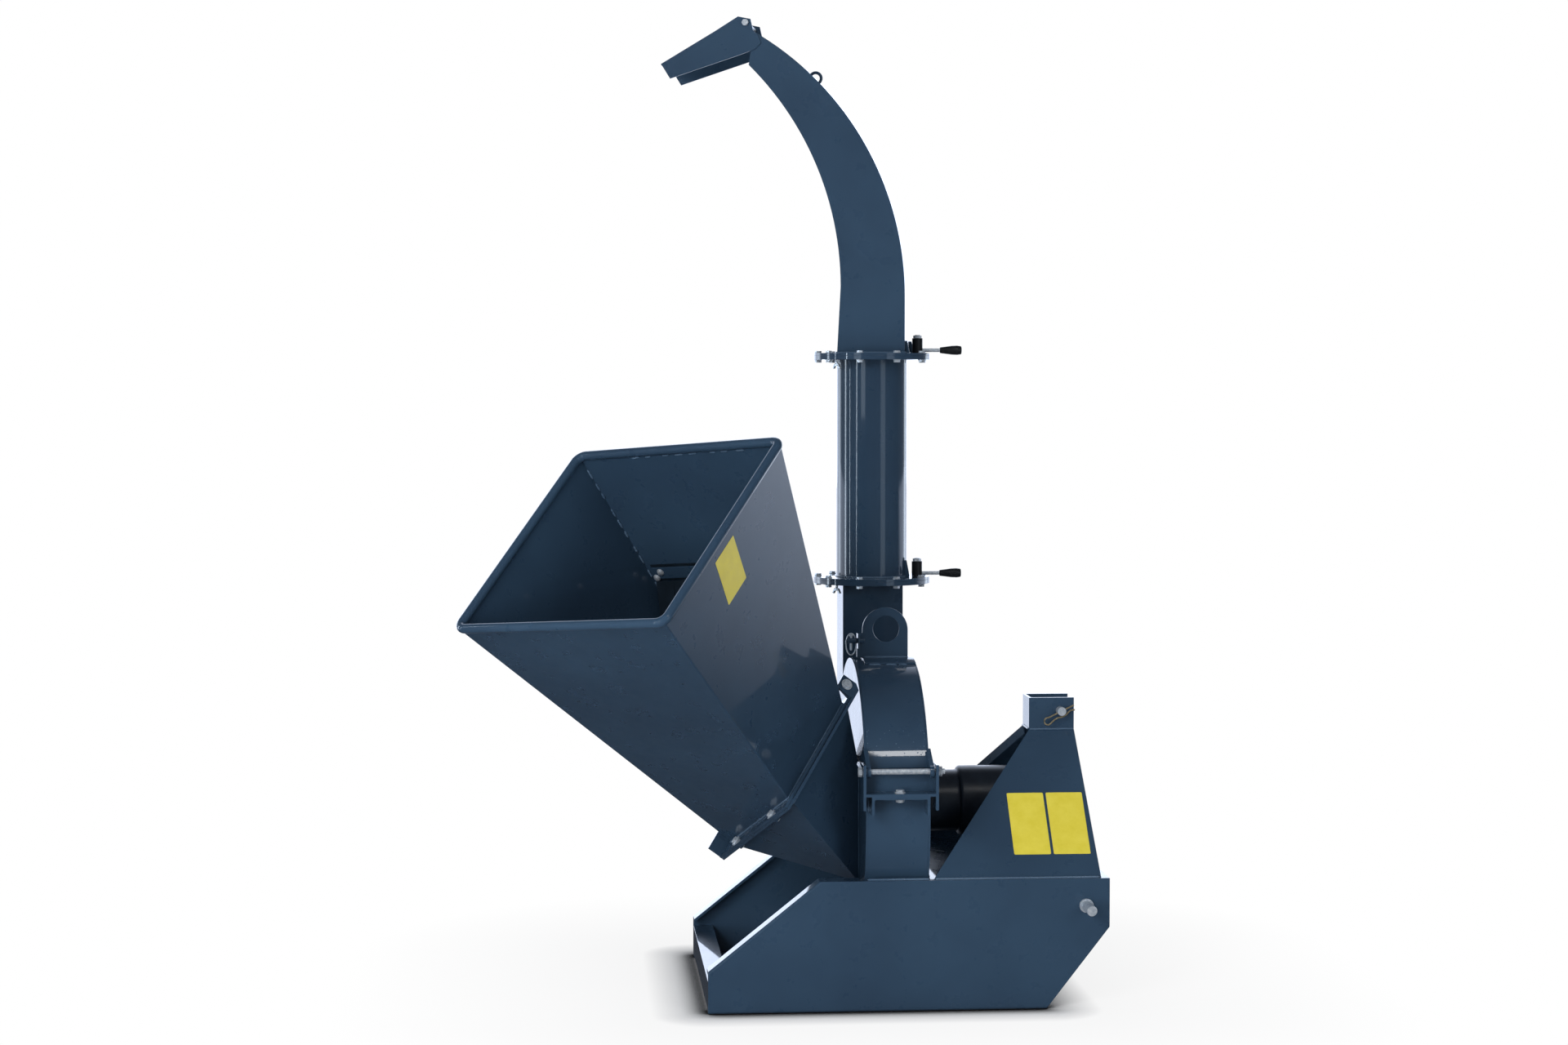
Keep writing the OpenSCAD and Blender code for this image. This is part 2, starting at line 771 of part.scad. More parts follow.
module bearing_bolt_set(side) {
    translate([side * (half_w + bearing_flange_t), 0, axis_z]) rotate([0, -90 * side, 0])
        for (k = [0:bearing_bolts - 1]) rotate(45 + 360 * k / bearing_bolts)
            translate([bearing_pcd_r, 0, 0]) nut_and_bolt(bearing_flange_t + sheet_t, bolt_r);
}

module fold_bolt() {
    rotate([-90, 0, 0]) nut_and_bolt(2 * fold_ear_t + flange_gap, fold_bolt_r);
}

module housing_bolts() {
    color(zinc) {
        for (side = [-1, 1]) bearing_bolt_set(side);
        translate([0, -hinge_y, hinge_z - web_drop]) rotate([180, 0, 0]) nut_and_bolt(2 * ear_t, 5);
        flange_axes() {
            translate([fold_x, near_ear - fold_ear_t, fold_z]) fold_bolt();
            translate([fold_x, far_ear - 2 * fold_ear_t - flange_gap, fold_z]) fold_bolt();
        }
    }
}

// Rotor

module rotor_shaft() {
    spline_x = shaft_rear - stub_len;
    color(bare_steel) translate([0, 0, axis_z]) {
        x_rod(-shaft_front, shaft_front + spline_x, shaft_d / 2);
        x_rod(rotor_disc_x + disc_t, hub_t, hub_r);
        translate([spline_x, 0, 0]) rotate([0, 90, 0]) linear_extrude(stub_len) intersection() {
            circle(r = stub_d / 2);
            union() {
                circle(r = spline_root_r);
                for (k = [0:5]) rotate(60 * k) translate([0, -spline_w / 2]) square([stub_d, spline_w]);
            }
        }
    }
}

module knife_places() {
    for (k = [0:knife_count - 1]) rotate(360 * k / knife_count) children();
}

module rotor_disc() {
    color(bare_steel) across(rotor_disc_x, disc_t) difference() {
        circle(r = disc_r, $fn = 128);
        circle(r = shaft_d / 2 + run_gap);
        knife_places() {
            translate([knife_inner + 12, -knife_w / 2 - 26]) square([knife_len - 24, 22]);
            for (place = [0.2, 0.8]) translate([knife_inner + place * knife_len, 0])
                circle(r = knife_bolt_r + bolt_hole_gap, $fn = 32);
        }
    }
}

module fan_paddles() {
    color(bare_steel) across(rotor_disc_x + disc_t, paddle_w) rotate(180 / knife_count) knife_places()
        translate([paddle_in, -paddle_t / 2]) square([paddle_out - paddle_in, paddle_t]);
}

module knives() {
    edge = 14;
    color(zinc) translate([rotor_disc_x, 0, axis_z]) rotate([90, 0, 90]) knife_places() difference() {
        translate([knife_inner, 0, 0]) rotate([90, 0, 90]) linear_extrude(knife_len)
            polygon([[-knife_w / 2, -knife_t], [knife_w / 2, -knife_t], [knife_w / 2, 0],
                [-knife_w / 2 + edge, 0]]);
        for (place = [0.2, 0.8]) translate([knife_inner + place * knife_len, 0, -knife_t - 1])
            cylinder(h = knife_t + 2, r = knife_bolt_r + bolt_hole_gap, $fn = 32);
    }
}

module knife_bolts() {
    color(zinc) translate([rotor_disc_x, 0, axis_z]) rotate([90, 0, 90]) knife_places()
        for (place = [0.2, 0.8]) translate([knife_inner + place * knife_len, 0, -knife_t]) {
            cylinder(h = knife_t + disc_t + 10, r = knife_bolt_r, $fn = 32);
            translate([0, 0, knife_t + disc_t]) hex_nut(knife_bolt_r + 0.02);
        }
}

module bearing() {
    difference() {
        union() {
            cylinder(h = bearing_flange_t, r = bearing_r);
            cylinder(h = bearing_t, r = bearing_boss_r);
        }
        translate([0, 0, -1]) cylinder(h = bearing_t + 2, r = shaft_d / 2 + run_gap);
        for (k = [0:bearing_bolts - 1]) rotate(45 + 360 * k / bearing_bolts) translate([bearing_pcd_r, 0, -1])
            cylinder(h = bearing_t, r = bolt_r + bolt_hole_gap, $fn = 32);
    }
}

module front_bearing() {
    color("#3b4148") translate([-half_w, 0, axis_z]) rotate([0, -90, 0]) bearing();
}

module rear_bearing() {
    color("#3b4148") translate([half_w, 0, axis_z]) rotate([0, 90, 0]) bearing();
}

module drive_guard() {
    collar_r = guard_r - guard_step;
    shoulder = 8;
    color(plastic) translate([half_w, 0, axis_z]) rotate([0, 90, 0]) rotate_extrude($fn = 96)
        polygon(concat([[collar_r - guard_t, 0], [collar_r, 0], [collar_r, guard_collar_len - shoulder]],
            [for (a = [0:15:90]) [guard_r - shoulder + shoulder * sin(a),
                guard_collar_len + 6 - shoulder * cos(a)]],
            [[guard_r, guard_len], [guard_r - guard_t, guard_len], [guard_r - guard_t, guard_collar_len + 8],
            [collar_r - guard_t, guard_collar_len + 4]]));
}

// Feed

module bed_knife() {
    color(bare_steel) translate([-half_w + sheet_t, -feed_y - feed_w - 8, feed_low - bed_knife_h])
        cube([rotor_disc_x + half_w - sheet_t - knife_t - bed_knife_gap, feed_w + 16, bed_knife_h]);
}

function throat_points(t) = [for (p = inset3(flange_ring, t)) in_hopper(p + (2 * feed_flange_t + flange_gap)
    * [-sin(flange_skew), 0, cos(flange_skew)])];
function feed_points(t) = let (low = feed_low - t, high = feed_top + t, near = -feed_y - feed_w - t,
    far = -feed_y + t, x = -half_w) [[x, near, low], [x, near, high], [x, far, high], [x, far, low]];

module feed_throat() {
    color(paint) for (i = [0:3])
        ring_wall(throat_points(0), throat_points(hopper_t), feed_points(hopper_t), feed_points(0), i);
}

module fold_ear(outline) {
    rotate([90, 0, 0]) linear_extrude(fold_ear_t) difference() {
        polygon(outline);
        translate([fold_x, fold_z]) circle(r = fold_bolt_r + run_gap, $fn = 48);
    }
}

// The ear turns with the hopper, so it stays close to its bolt
module hopper_ear() {
    low = -feed_flange_t;
    fold_ear([[flange_h - 6, low], [flange_h + edge_high, low], [fold_x + fold_r, fold_z - fold_r],
        [fold_x + fold_r, fold_z + fold_r - 1], [fold_x - fold_r, fold_z + fold_r - 1],
        [flange_h + fold_ear_root, 0], [flange_h - 6, 0]]);
}

// The broad ear of the throat, cut off at its foot to clear the rotor housing
module throat_ear() {
    fold_ear([[flange_h - 6, throat_top], [fold_x + ear_foot, throat_top], [fold_x + ear_reach, fold_z - ear_reach],
        [fold_x + ear_reach, fold_z + ear_reach], [fold_x - ear_inner, fold_z + ear_reach],
        [flange_h + fold_ear_root, throat_top + feed_flange_t], [flange_h - 6, throat_top + feed_flange_t]]);
}

module flange_plate(low) {
    difference() {
        translate([0, 0, low]) linear_extrude(feed_flange_t) difference() {
            polygon(flange_edge);
            polygon(inset(flange_hole, hopper_t));
        }
        for (place = flange_bolt_places) translate([flange_bolt_x + (far_floor - near_floor) * place,
            place * flange_len, low - 1]) cylinder(h = 40, r = loose_hole_r, $fn = 32);
    }
}

module throat_flange() {
    color(paint) flange_axes() {
        flange_plate(throat_top);
        translate([0, near_ear, 0]) throat_ear();
        translate([0, near_ear - fold_ear_t, throat_top])
            cube([flange_h + edge_high, -edge_near - near_ear + fold_ear_t, feed_flange_t]);
        translate([0, far_ear, 0]) throat_ear();
        for (place = flange_bolt_places) translate([flange_bolt_x + (far_floor - near_floor) * place,
            place * flange_len, throat_top - weld_nut_h]) difference() {
                cylinder(h = weld_nut_h, r = flange_bolt_r, $fn = 6);
                translate([0, 0, -1]) cylinder(h = weld_nut_h + 2, r = loose_hole_r, $fn = 32);
            }
    }
}

module hopper_wall(i) {
    color(paint) hopper_axes()
        ring_wall(mouth_ring, inset3(mouth_ring, hopper_t), flange_ring, inset3(flange_ring, hopper_t), i);
}

module hopper_near_wall() {
    hopper_wall(0);
}

module hopper_roof() {
    hopper_wall(1);
}

module hopper_far_wall() {
    hopper_wall(2);
}

module hopper_floor() {
    hopper_wall(3);
}

// Tube round the mouth with a flat seat for the walls' ends
module hopper_rim() {
    bend = 20;
    color(paint) hopper_axes() difference() {
        for (k = [0:3]) translate([mouth / 2, mouth / 2, 0]) rotate(90 * k) translate([mouth / 2, 0, 0]) {
            rotate([90, 0, 0]) cylinder(h = mouth - 2 * bend, r = rim_r, center = true);
            translate([-bend, mouth / 2 - bend, 0]) rotate_extrude(angle = 90)
                translate([bend, 0]) circle(r = rim_r);
        }
        translate([-rim_d, -rim_d, rim_seat]) cube([mouth + 2 * rim_d, mouth + 2 * rim_d, rim_d]);
    }
}

module hopper_flange() {
    color(paint) flange_axes() {
        flange_plate(-feed_flange_t);
        translate([far_floor - near_floor - edge_low + 1, flange_len + edge_far - flange_lip_t, -feed_flange_t])
            cube([far_roof - far_floor + edge_low + edge_high - 2, flange_lip_t, flange_lip_h]);
        translate([0, near_ear + fold_ear_t + flange_gap, 0]) hopper_ear();
        translate([0, far_ear - fold_ear_t - flange_gap, 0]) hopper_ear();
    }
}

module hopper_bolts() {
    color(zinc) flange_axes() for (place = flange_bolt_places)
        translate([flange_bolt_x + (far_floor - near_floor) * place, place * flange_len, 0]) {
            cylinder(h = 6.5, r = flange_bolt_r, $fn = 6);
            translate([0, 0, throat_top - weld_nut_h - 2])
                cylinder(h = -throat_top + weld_nut_h + 2, r = bolt_r, $fn = 32);
        }
}

// Rubber sheet: a strip against the roof, then a length that hangs down
module infeed_curtain() {
    hang = atan2(inward[2], rising[2]);
    near = near_draw / near_depth * curtain_depth + hopper_t + curtain_side_gap;
    far = mouth - far_draw / far_depth * curtain_depth - hopper_t - curtain_side_gap;
    low_depth = curtain_depth + curtain_len;
    low_near = near_draw / near_depth * low_depth + hopper_t + curtain_side_gap;
    low_far = mouth - far_draw / far_depth * low_depth - hopper_t - curtain_side_gap;
    color(rubber) hopper_axes() translate([0, mouth - hopper_t - run_gap - roof_drop * curtain_depth, curtain_depth])
        rotate([atan(roof_drop), 0, 0]) {
            translate([near, -curtain_t, -curtain_bar_w]) cube([far - near, curtain_t, curtain_bar_w]);
            translate([0, -curtain_t, 0]) rotate([hang - atan(roof_drop), 0, 0]) translate([0, 0, -curtain_t])
                linear_extrude(curtain_t) polygon([[near, 0], [far, 0], [low_far, -curtain_len],
                    [low_near, -curtain_len]]);
        }
}

// Discharge

module pipe_axis(z) {
    translate([pipe_x, pipe_y, z]) children();
}

module swivel_bolt_holes() {
    for (k = [0:swivel_bolts - 1]) rotate(bolt_phase + 360 * k / swivel_bolts) translate([bolt_circle, 0, -1])
        cylinder(h = swivel_h + 2, r = bolt_r + bolt_hole_gap, $fn = 32);
}

// Plate that turns with the member above it
module swivel_plate() {
    difference() {
        translate([0, 0, swivel_h - plate_h]) cylinder(h = plate_h, r = flange_r, $fn = 128);
        translate([0, 0, -1]) cylinder(h = swivel_h + 2, r = bore_r, $fn = 128);
        swivel_bolt_holes();
        rotate(clamp_angle) translate([clamp_r, 0, 0]) cylinder(h = swivel_h + 2, r = stud_r, $fn = 48);
    }
}

// Ring bolted under the plate, reaching beneath the fixed ring
module keeper_ring() {
    difference() {
        rotate_extrude($fn = 128) polygon([[keeper_in, 0], [flange_r, 0], [flange_r, swivel_h - plate_h],
            [ring_r + part_gap, swivel_h - plate_h], [ring_r + part_gap, fixed_low - part_gap],
            [keeper_in, fixed_low - part_gap]]);
        swivel_bolt_holes();
    }
}

module swivel_bolt_set() {
    for (k = [0:swivel_bolts - 1]) rotate(bolt_phase + 360 * k / swivel_bolts)
        translate([bolt_circle, 0, swivel_h]) rotate([180, 0, 0]) nut_and_bolt(swivel_h, bolt_r);
    rotate(clamp_angle) translate([clamp_r, 0, swivel_h - plate_h]) {
        cylinder(h = plate_h + clamp_h + 8, r = stud_r, $fn = 48);
        translate([0, 0, plate_h + clamp_h + 2 * part_gap]) cylinder(h = 6, r = 1.6 * stud_r, $fn = 6);
    }
    rotate(218) translate([keeper_in + 9, 0, -12]) {
        cylinder(h = 12, r = 3, $fn = 32);
        translate([-3, -6, -2]) cube([6, 12, 4]);
        for (wing = [-1, 1]) translate([0, wing * 6, 0]) rotate([wing * 30, 0, 0])
            translate([-3, -1.5, -9]) cube([6, 3, 12]);
    }
}

module duct_flange() {
    color(paint) pipe_axis(lower_swivel_z + fixed_low) difference() {
        cylinder(h = ring_t, r = ring_r, $fn = 128);
        translate([0, 0, -1]) cylinder(h = ring_t + 2, r = bore_r, $fn = 128);
    }
}

module lower_keeper_ring() {
    color(paint) pipe_axis(lower_swivel_z) keeper_ring();
}

module lower_swivel_bolts() {
    color(zinc) pipe_axis(lower_swivel_z) swivel_bolt_set();
}

module pipe_foot_flange() {
    color(paint) pipe_axis(lower_swivel_z) swivel_plate();
}

module discharge_pipe() {
    rise = upper_swivel_z - lower_swivel_z;
    color(paint) pipe_axis(lower_swivel_z) rotate_extrude($fn = 128)
        polygon([[bore_r, swivel_h], [pipe_r, swivel_h], [pipe_r, rise + fixed_low], [ring_r, rise + fixed_low],
            [ring_r, rise + fixed_top], [bore_r, rise + fixed_top]]);
}

module upper_keeper_ring() {
    color(paint) pipe_axis(upper_swivel_z) keeper_ring();
}

module upper_swivel_bolts() {
    color(zinc) pipe_axis(upper_swivel_z) swivel_bolt_set();
}

module clamp_axis(z) {
    pipe_axis(z + swivel_h) rotate(clamp_angle) translate([clamp_r, 0, 0]) rotate(-clamp_angle) children();
}

module clamp_sleeve() {
    difference() {
        union() {
            translate([0, 0, part_gap]) cylinder(h = clamp_h, r = clamp_d / 2);
            translate([0, 0, clamp_rod_z]) x_rod(0, clamp_d / 2 + clamp_rod_len, clamp_rod_d / 2);
        }
        cylinder(h = clamp_h + 2 * stud_r, r = stud_r + 2 * run_gap);
    }
}

module clamp_grip() {
    translate([clamp_d / 2 + clamp_rod_len - grip_len * 0.3, 0, clamp_rod_z]) rotate([0, 90, 0]) difference() {
        rotate_extrude() polygon([[0, 0], [grip_small / 2 - 1, 0], [grip_small / 2, 1],
            [grip_large / 2 - 0.5, grip_len * 0.55], [grip_large / 2, grip_len * 0.8],
            [grip_large / 2 - 1.2, grip_len - 1], [grip_large / 2 - 3, grip_len], [0, grip_len]]);
        translate([0, 0, -1]) cylinder(h = 1 + grip_len * 0.3, r = clamp_rod_d / 2);
    }
}

module lower_clamp() {
    color(plastic) clamp_axis(lower_swivel_z) clamp_sleeve();
}

module lower_grip() {
    color(plastic) clamp_axis(lower_swivel_z) clamp_grip();
}

module upper_clamp() {
    color(plastic) clamp_axis(upper_swivel_z) clamp_sleeve();
}

module upper_grip() {
    color(plastic) clamp_axis(upper_swivel_z) clamp_grip();
}

// Chute

module chute_axes() {
    pipe_axis(chute_z) rotate(-chute_turn) children();
}

// Stands a drawing of the chute's side at the far distance y, with thickness w
module chute_slice(y, w) {
    chute_axes() translate([0, y + w, 0]) rotate([90, 0, 0]) linear_extrude(w) children();
}

module chute_flange() {
    color(paint) pipe_axis(upper_swivel_z) swivel_plate();
}

module side_drawing() {
    big = 2 * chute_r;
    polygon([[chute_in, 0], [chute_out, 0], [chute_out, chute_straight], [0, inner_straight],
        [inner_start, inner_straight]]);
    intersection() {
        difference() {
            translate(outer_centre) circle(r = chute_r, $fn = 256);
            translate(inner_centre) circle(r = inner_r_chute, $fn = 256);
        }
        polygon([outer_end, inner_end, [inner_end[0], chute_straight], [chute_out + 9, chute_straight],
            [chute_out + 9, outer_end[1] + 9], [outer_end[0], outer_end[1] + 9]]);
    }
    difference() {
        union() {
            translate(deflector_pivot) circle(r = chute_ear_r);
            polygon([outer_end, outer_end + [-1.5, -14], deflector_pivot + [-chute_ear_r, -2],
                deflector_pivot + [4, chute_ear_r - 1.5]]);
        }
        translate(deflector_pivot) circle(r = hinge_bolt_r + run_gap, $fn = 48);
    }
}

module chute_sides() {
    color(paint) for (y = [-chute_w / 2 - chute_t, chute_w / 2]) chute_slice(y, chute_t) side_drawing();
}

module curved_band(centre, r, arc) {
    translate([centre[0], 0, centre[1]]) rotate([90, 0, 0]) rotate_extrude(angle = arc, $fn = 256)
        translate([r, -chute_w / 2]) square([chute_t, chute_w]);
}

module chute_bands() {
    loop_angle = 46;
    color(paint) chute_axes() {
        translate([chute_out - chute_t, -chute_w / 2, 0]) cube([chute_t, chute_w, chute_straight]);
        curved_band(outer_centre, chute_r - chute_t, chute_arc);
        translate([0, chute_w / 2, 0]) rotate([90, 0, 0]) linear_extrude(chute_w)
            polygon([[chute_in, 0], [chute_in + chute_t, 0], [inner_start + chute_t, inner_straight],
                [inner_start, inner_straight]]);
        curved_band(inner_centre, inner_r_chute, inner_arc);
        difference() {
            translate([outer_centre[0], 0, outer_centre[1]]) rotate([0, -loop_angle, 0])
                translate([chute_r, 0, 0]) rotate([90, 0, 0]) rotate_extrude()
                    translate([loop_r, 0]) circle(r = loop_wire_r, $fn = 32);
            translate([outer_centre[0], 0, outer_centre[1]]) rotate([90, 0, 0])
                cylinder(h = 3 * loop_r, r = chute_r - chute_t / 2, center = true, $fn = 256);
        }
    }
}

module deflector_axes() {
    chute_axes() translate([deflector_pivot[0], 0, deflector_pivot[1]]) children();
}

module deflector() {
    d = deflector_reach;
    top = d * [[-0.087, 0.072], [-0.354, -0.092], [-1, -0.467]];
    color(paint) deflector_axes() difference() {
        union() {
            for (y = [-deflector_half - deflector_t, deflector_half]) translate([0, y + deflector_t, 0])
                rotate([90, 0, 0]) linear_extrude(deflector_t)
                    polygon(concat([[0.062 * d, 0.041 * d]], top, d * [[-0.892, -0.641], [-0.062, -0.374],
                        [0.113, -0.313], [0.185, -0.241], [0.149, -0.149], [0.092, -0.092]]));
            translate([0, deflector_half + deflector_t, 0]) rotate([90, 0, 0])
                linear_extrude(2 * (deflector_half + deflector_t))
                    polygon(concat(top, d * [[-0.995, -0.487], [-0.354, -0.113], [-0.077, 0.054]]));
        }
        rotate([90, 0, 0]) cylinder(h = 2 * chute_w, r = hinge_bolt_r + run_gap, center = true, $fn = 48);
    }
}

module deflector_bolts() {
    half = deflector_half + deflector_t;
    color(zinc) deflector_axes() rotate([90, 0, 0]) {
        cylinder(h = 2 * half + 2, r = hinge_bolt_r, center = true, $fn = 48);
        for (end = [-1, 1]) translate([0, 0, end * (half + part_gap + 3)])
            cylinder(h = 6, r = 8, center = true, $fn = 6);
    }
}

side_panel_near();
side_panel_far();
rear_cross_member();
front_cross_member();
deck_plate();
lower_hitch_pins();
mast_plate_near();
mast_plate_far();
top_link_bracket();
top_link_pin();
top_link_clip();
lower_front_plate();
lower_rear_plate();
lower_rim();
split_flange();
upper_front_plate();
upper_rear_plate();
upper_rim();
floor_strap();
hinge_bracket();
hinge_knuckle();
hinge_rod();
lifting_lug();
lock_pin();
housing_bolts();
rotor_shaft();
rotor_disc();
fan_paddles();
knives();
knife_bolts();
front_bearing();
rear_bearing();
drive_guard();
bed_knife();
feed_throat();
throat_flange();
hopper_floor();
hopper_near_wall();
hopper_roof();
hopper_far_wall();
hopper_rim();
hopper_flange();
hopper_bolts();
infeed_curtain();
duct_flange();
lower_keeper_ring();
lower_swivel_bolts();
discharge_pipe();
pipe_foot_flange();
upper_keeper_ring();
upper_swivel_bolts();
chute_flange();
chute_sides();
chute_bands();
deflector();
deflector_bolts();
lower_clamp();
lower_grip();
upper_clamp();
upper_grip();
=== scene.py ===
# %% [markdown]
# # A disc wood chipper, dressed for its portrait
#
# The machine hangs on a small tractor and is made almost wholly of folded and welded steel sheet: a
# base of two long side panels, a drum-shaped rotor housing, a square feed hopper and a tall chute
# that swivels. The solids come ready made from the construction step. This lesson gives them
# softened edges, weld beads, proper fasteners and finishes that behave like powder coat, zinc
# plate, rubber and moulded plastic.

import bpy
import bmesh
import json
import math
from math import cos, sin, radians
from mathutils import Matrix, Vector

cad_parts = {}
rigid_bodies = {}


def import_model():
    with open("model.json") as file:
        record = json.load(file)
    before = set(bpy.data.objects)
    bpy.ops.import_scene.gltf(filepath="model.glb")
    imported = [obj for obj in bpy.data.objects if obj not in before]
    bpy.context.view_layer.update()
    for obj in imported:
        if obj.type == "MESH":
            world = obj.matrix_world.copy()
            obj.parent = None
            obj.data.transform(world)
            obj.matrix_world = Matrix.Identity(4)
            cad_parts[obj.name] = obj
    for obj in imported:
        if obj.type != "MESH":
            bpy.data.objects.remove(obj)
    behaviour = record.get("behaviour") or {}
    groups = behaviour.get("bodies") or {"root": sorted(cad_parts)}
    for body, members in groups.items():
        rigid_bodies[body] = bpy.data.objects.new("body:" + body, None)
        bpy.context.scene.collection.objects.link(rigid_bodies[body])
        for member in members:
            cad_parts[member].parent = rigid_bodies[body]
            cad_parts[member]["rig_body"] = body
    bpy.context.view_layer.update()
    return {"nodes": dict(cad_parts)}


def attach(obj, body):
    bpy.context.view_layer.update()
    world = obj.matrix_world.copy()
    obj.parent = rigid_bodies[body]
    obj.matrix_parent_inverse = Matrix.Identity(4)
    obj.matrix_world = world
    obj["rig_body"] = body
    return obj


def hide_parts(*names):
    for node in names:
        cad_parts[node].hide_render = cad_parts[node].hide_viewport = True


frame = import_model()
scene = bpy.context.scene
MM = 0.001


# %% [markdown]
# ## The camera
#
# The portrait was taken from about six and a half metres away, a little to the left of the machine
# and at chest height, looking slightly down. A longish lens keeps the verticals nearly upright. The
# lens needs no shift, so every other view of the machine stays centred as well.

# %% Camera at the portrait's place
yaw, pitch = radians(4.507), radians(2.777)
looking = Vector((sin(yaw) * cos(pitch), cos(yaw) * cos(pitch), -sin(pitch)))
camera_data = bpy.data.cameras.new("portrait_camera")
camera_data.lens = 66.9
camera_data.sensor_width = 36
camera = bpy.data.objects.new("portrait_camera", camera_data)
camera.location = (-0.7262, -6.4385, 1.34075)
camera.rotation_euler = looking.to_track_quat("-Z", "Y").to_euler()
scene.collection.objects.link(camera)
scene.camera = camera
scene.view_settings.view_transform = "Standard"
print("camera", [round(x, 3) for x in camera.location], "lens", camera_data.lens)


# %% [markdown]
# ## Finishes
#
# Every finish is a small tree of shader nodes. Colours are written as the sRGB hex values that a
# colour picker shows, and one function turns them into the linear numbers that the renderer works
# with. One more function adds a node, sets its values and links its inputs, so that each finish
# reads as a short recipe. All patterns read Object coordinates. These pieces sit at the origin, so
# one unit is one metre, and a pattern of three millimetres has a scale of one divided by 0.003.

# %% Colour and node helpers
def linear(hex_colour):
    """sRGB hex to the opaque linear colour a shader wants."""
    parts = [int(hex_colour[i:i + 2], 16) / 255 for i in (1, 3, 5)]
    red, green, blue = (c / 12.92 if c <= 0.04045 else ((c + 0.055) / 1.055) ** 2.4 for c in parts)
    return red, green, blue, 1.0


def add_node(tree, kind, settings=None, links=None):
    """Adds a node. Settings go to sockets or properties by name, links join outputs to sockets."""
    made = tree.nodes.new(kind)
    for name, value in (settings or {}).items():
        if isinstance(name, int) or name in made.inputs:
            made.inputs[name].default_value = value
        else:
            setattr(made, name, value)
    for name, source in (links or {}).items():
        tree.links.new(source, made.inputs[name])
    return made


def start_material(name):
    """An empty node material with its coordinates and its output."""
    material = bpy.data.materials.new(name)
    material.use_nodes = True
    material.node_tree.nodes.clear()
    tree = material.node_tree
    coords = add_node(tree, "ShaderNodeTexCoord").outputs["Object"]
    return material, tree, coords


def noise(tree, coords, size_mm, detail=3.0, roughness=0.5):
    """Noise whose lumps are about size_mm across."""
    settings = {"Scale": 1000 / size_mm, "Detail": detail, "Roughness": roughness}
    return add_node(tree, "ShaderNodeTexNoise", settings, {"Vector": coords}).outputs["Fac"]


def span(tree, value, low, high, from_low=0.35, from_high=0.65):
    """Maps a noise value to a range."""
    settings = {"From Min": from_low, "From Max": from_high, "To Min": low, "To Max": high}
    return add_node(tree, "ShaderNodeMapRange", settings, {"Value": value}).outputs["Result"]


def blend_colours(tree, factor, first, second):
    """Two hex colours mixed by a value."""
    settings = {"data_type": "RGBA"}
    made = add_node(tree, "ShaderNodeMix", settings, {"Factor": factor})
    for index, colour in ((6, first), (7, second)):
        if isinstance(colour, str):
            made.inputs[index].default_value = linear(colour)
        else:
            tree.links.new(colour, made.inputs[index])
    return made.outputs[2]


print("node helpers ready")


# %% [markdown]
# ### Powder-coated steel
#
# The sheet metal is sprayed with polyester powder and baked. The film flows into a hard gloss with
# a fine orange-peel ripple of two or three millimetres. Below it the sheet itself is never quite
# flat, so long reflections wander a little. Handling leaves faint patches that shine less. One
# layer of bump does the ripple, a second and much broader one does the sheet, and a noise drives
# the roughness. The gloss is a clear coat over a dull colour, so the paint turns pale only where it
# is seen edge on.

# %% Powder coat, slate blue
# The real ripple is 2 to 3 mm wide. It is drawn coarser than real, at 9 mm, so that it shows.
RIPPLE_MM, RIPPLE_STRENGTH = 9.0, 0.016
# Over a weld the film follows the bead's own fine scales, which are far steeper.
SCALES_MM, SCALES_STRENGTH = 1.6, 0.5


def powder_coat(name, dark, light, ripple_mm, strength):
    """Gloss paint over sheet that isn't quite flat."""
    material, tree, coords = start_material(name)
    patches = noise(tree, coords, 260, 3, 0.5)
    colour = blend_colours(tree, span(tree, patches, 0, 1), dark, light)
    smears = noise(tree, coords, 46, 6, 0.6)
    rough = span(tree, smears, 0.26, 0.36)
    sheet = add_node(tree, "ShaderNodeBump", {"Strength": 0.22, "Distance": 0.004},
                     {"Height": noise(tree, coords, 230, 1)})
    ripple = add_node(tree, "ShaderNodeBump", {"Strength": strength, "Distance": 0.0004},
                      {"Height": noise(tree, coords, ripple_mm, 2),
                       "Normal": sheet.outputs["Normal"]})
    gloss = {"Specular IOR Level": 0.12, "Coat Weight": 1.0, "Coat Roughness": 0.04,
             "Coat IOR": 1.5}
    surface = {"Base Color": colour, "Roughness": rough, "Normal": ripple.outputs["Normal"]}
    shader = add_node(tree, "ShaderNodeBsdfPrincipled", gloss, surface)
    add_node(tree, "ShaderNodeOutputMaterial", links={"Surface": shader.outputs["BSDF"]})
    return material


paint = powder_coat("powder_coat_slate_blue", "#2b3e52", "#30455a", RIPPLE_MM, RIPPLE_STRENGTH)
# The coat over welds and spatter is lighter than the paint: a painted highlight.
weld_coat_painted_highlight = powder_coat("weld_powder_coat_painted_highlight", "#40566d", "#54697f", SCALES_MM, SCALES_STRENGTH)
print("made", paint.name, "and", weld_coat_painted_highlight.name)


# %% [markdown]
# ### Metals
#
# Fasteners are zinc plated and passivated: pale grey with a faint blue cast that drifts over a few
# millimetres. The rotor and the drive stub are bare machined steel, darker and mottled by oil. The
# bearings are grey iron castings under a thin coat of primer. The spring clip is spring steel wire
# with a yellow passivation. Both passivated films scatter some light, so zinc and wire are a little
# less than metallic.

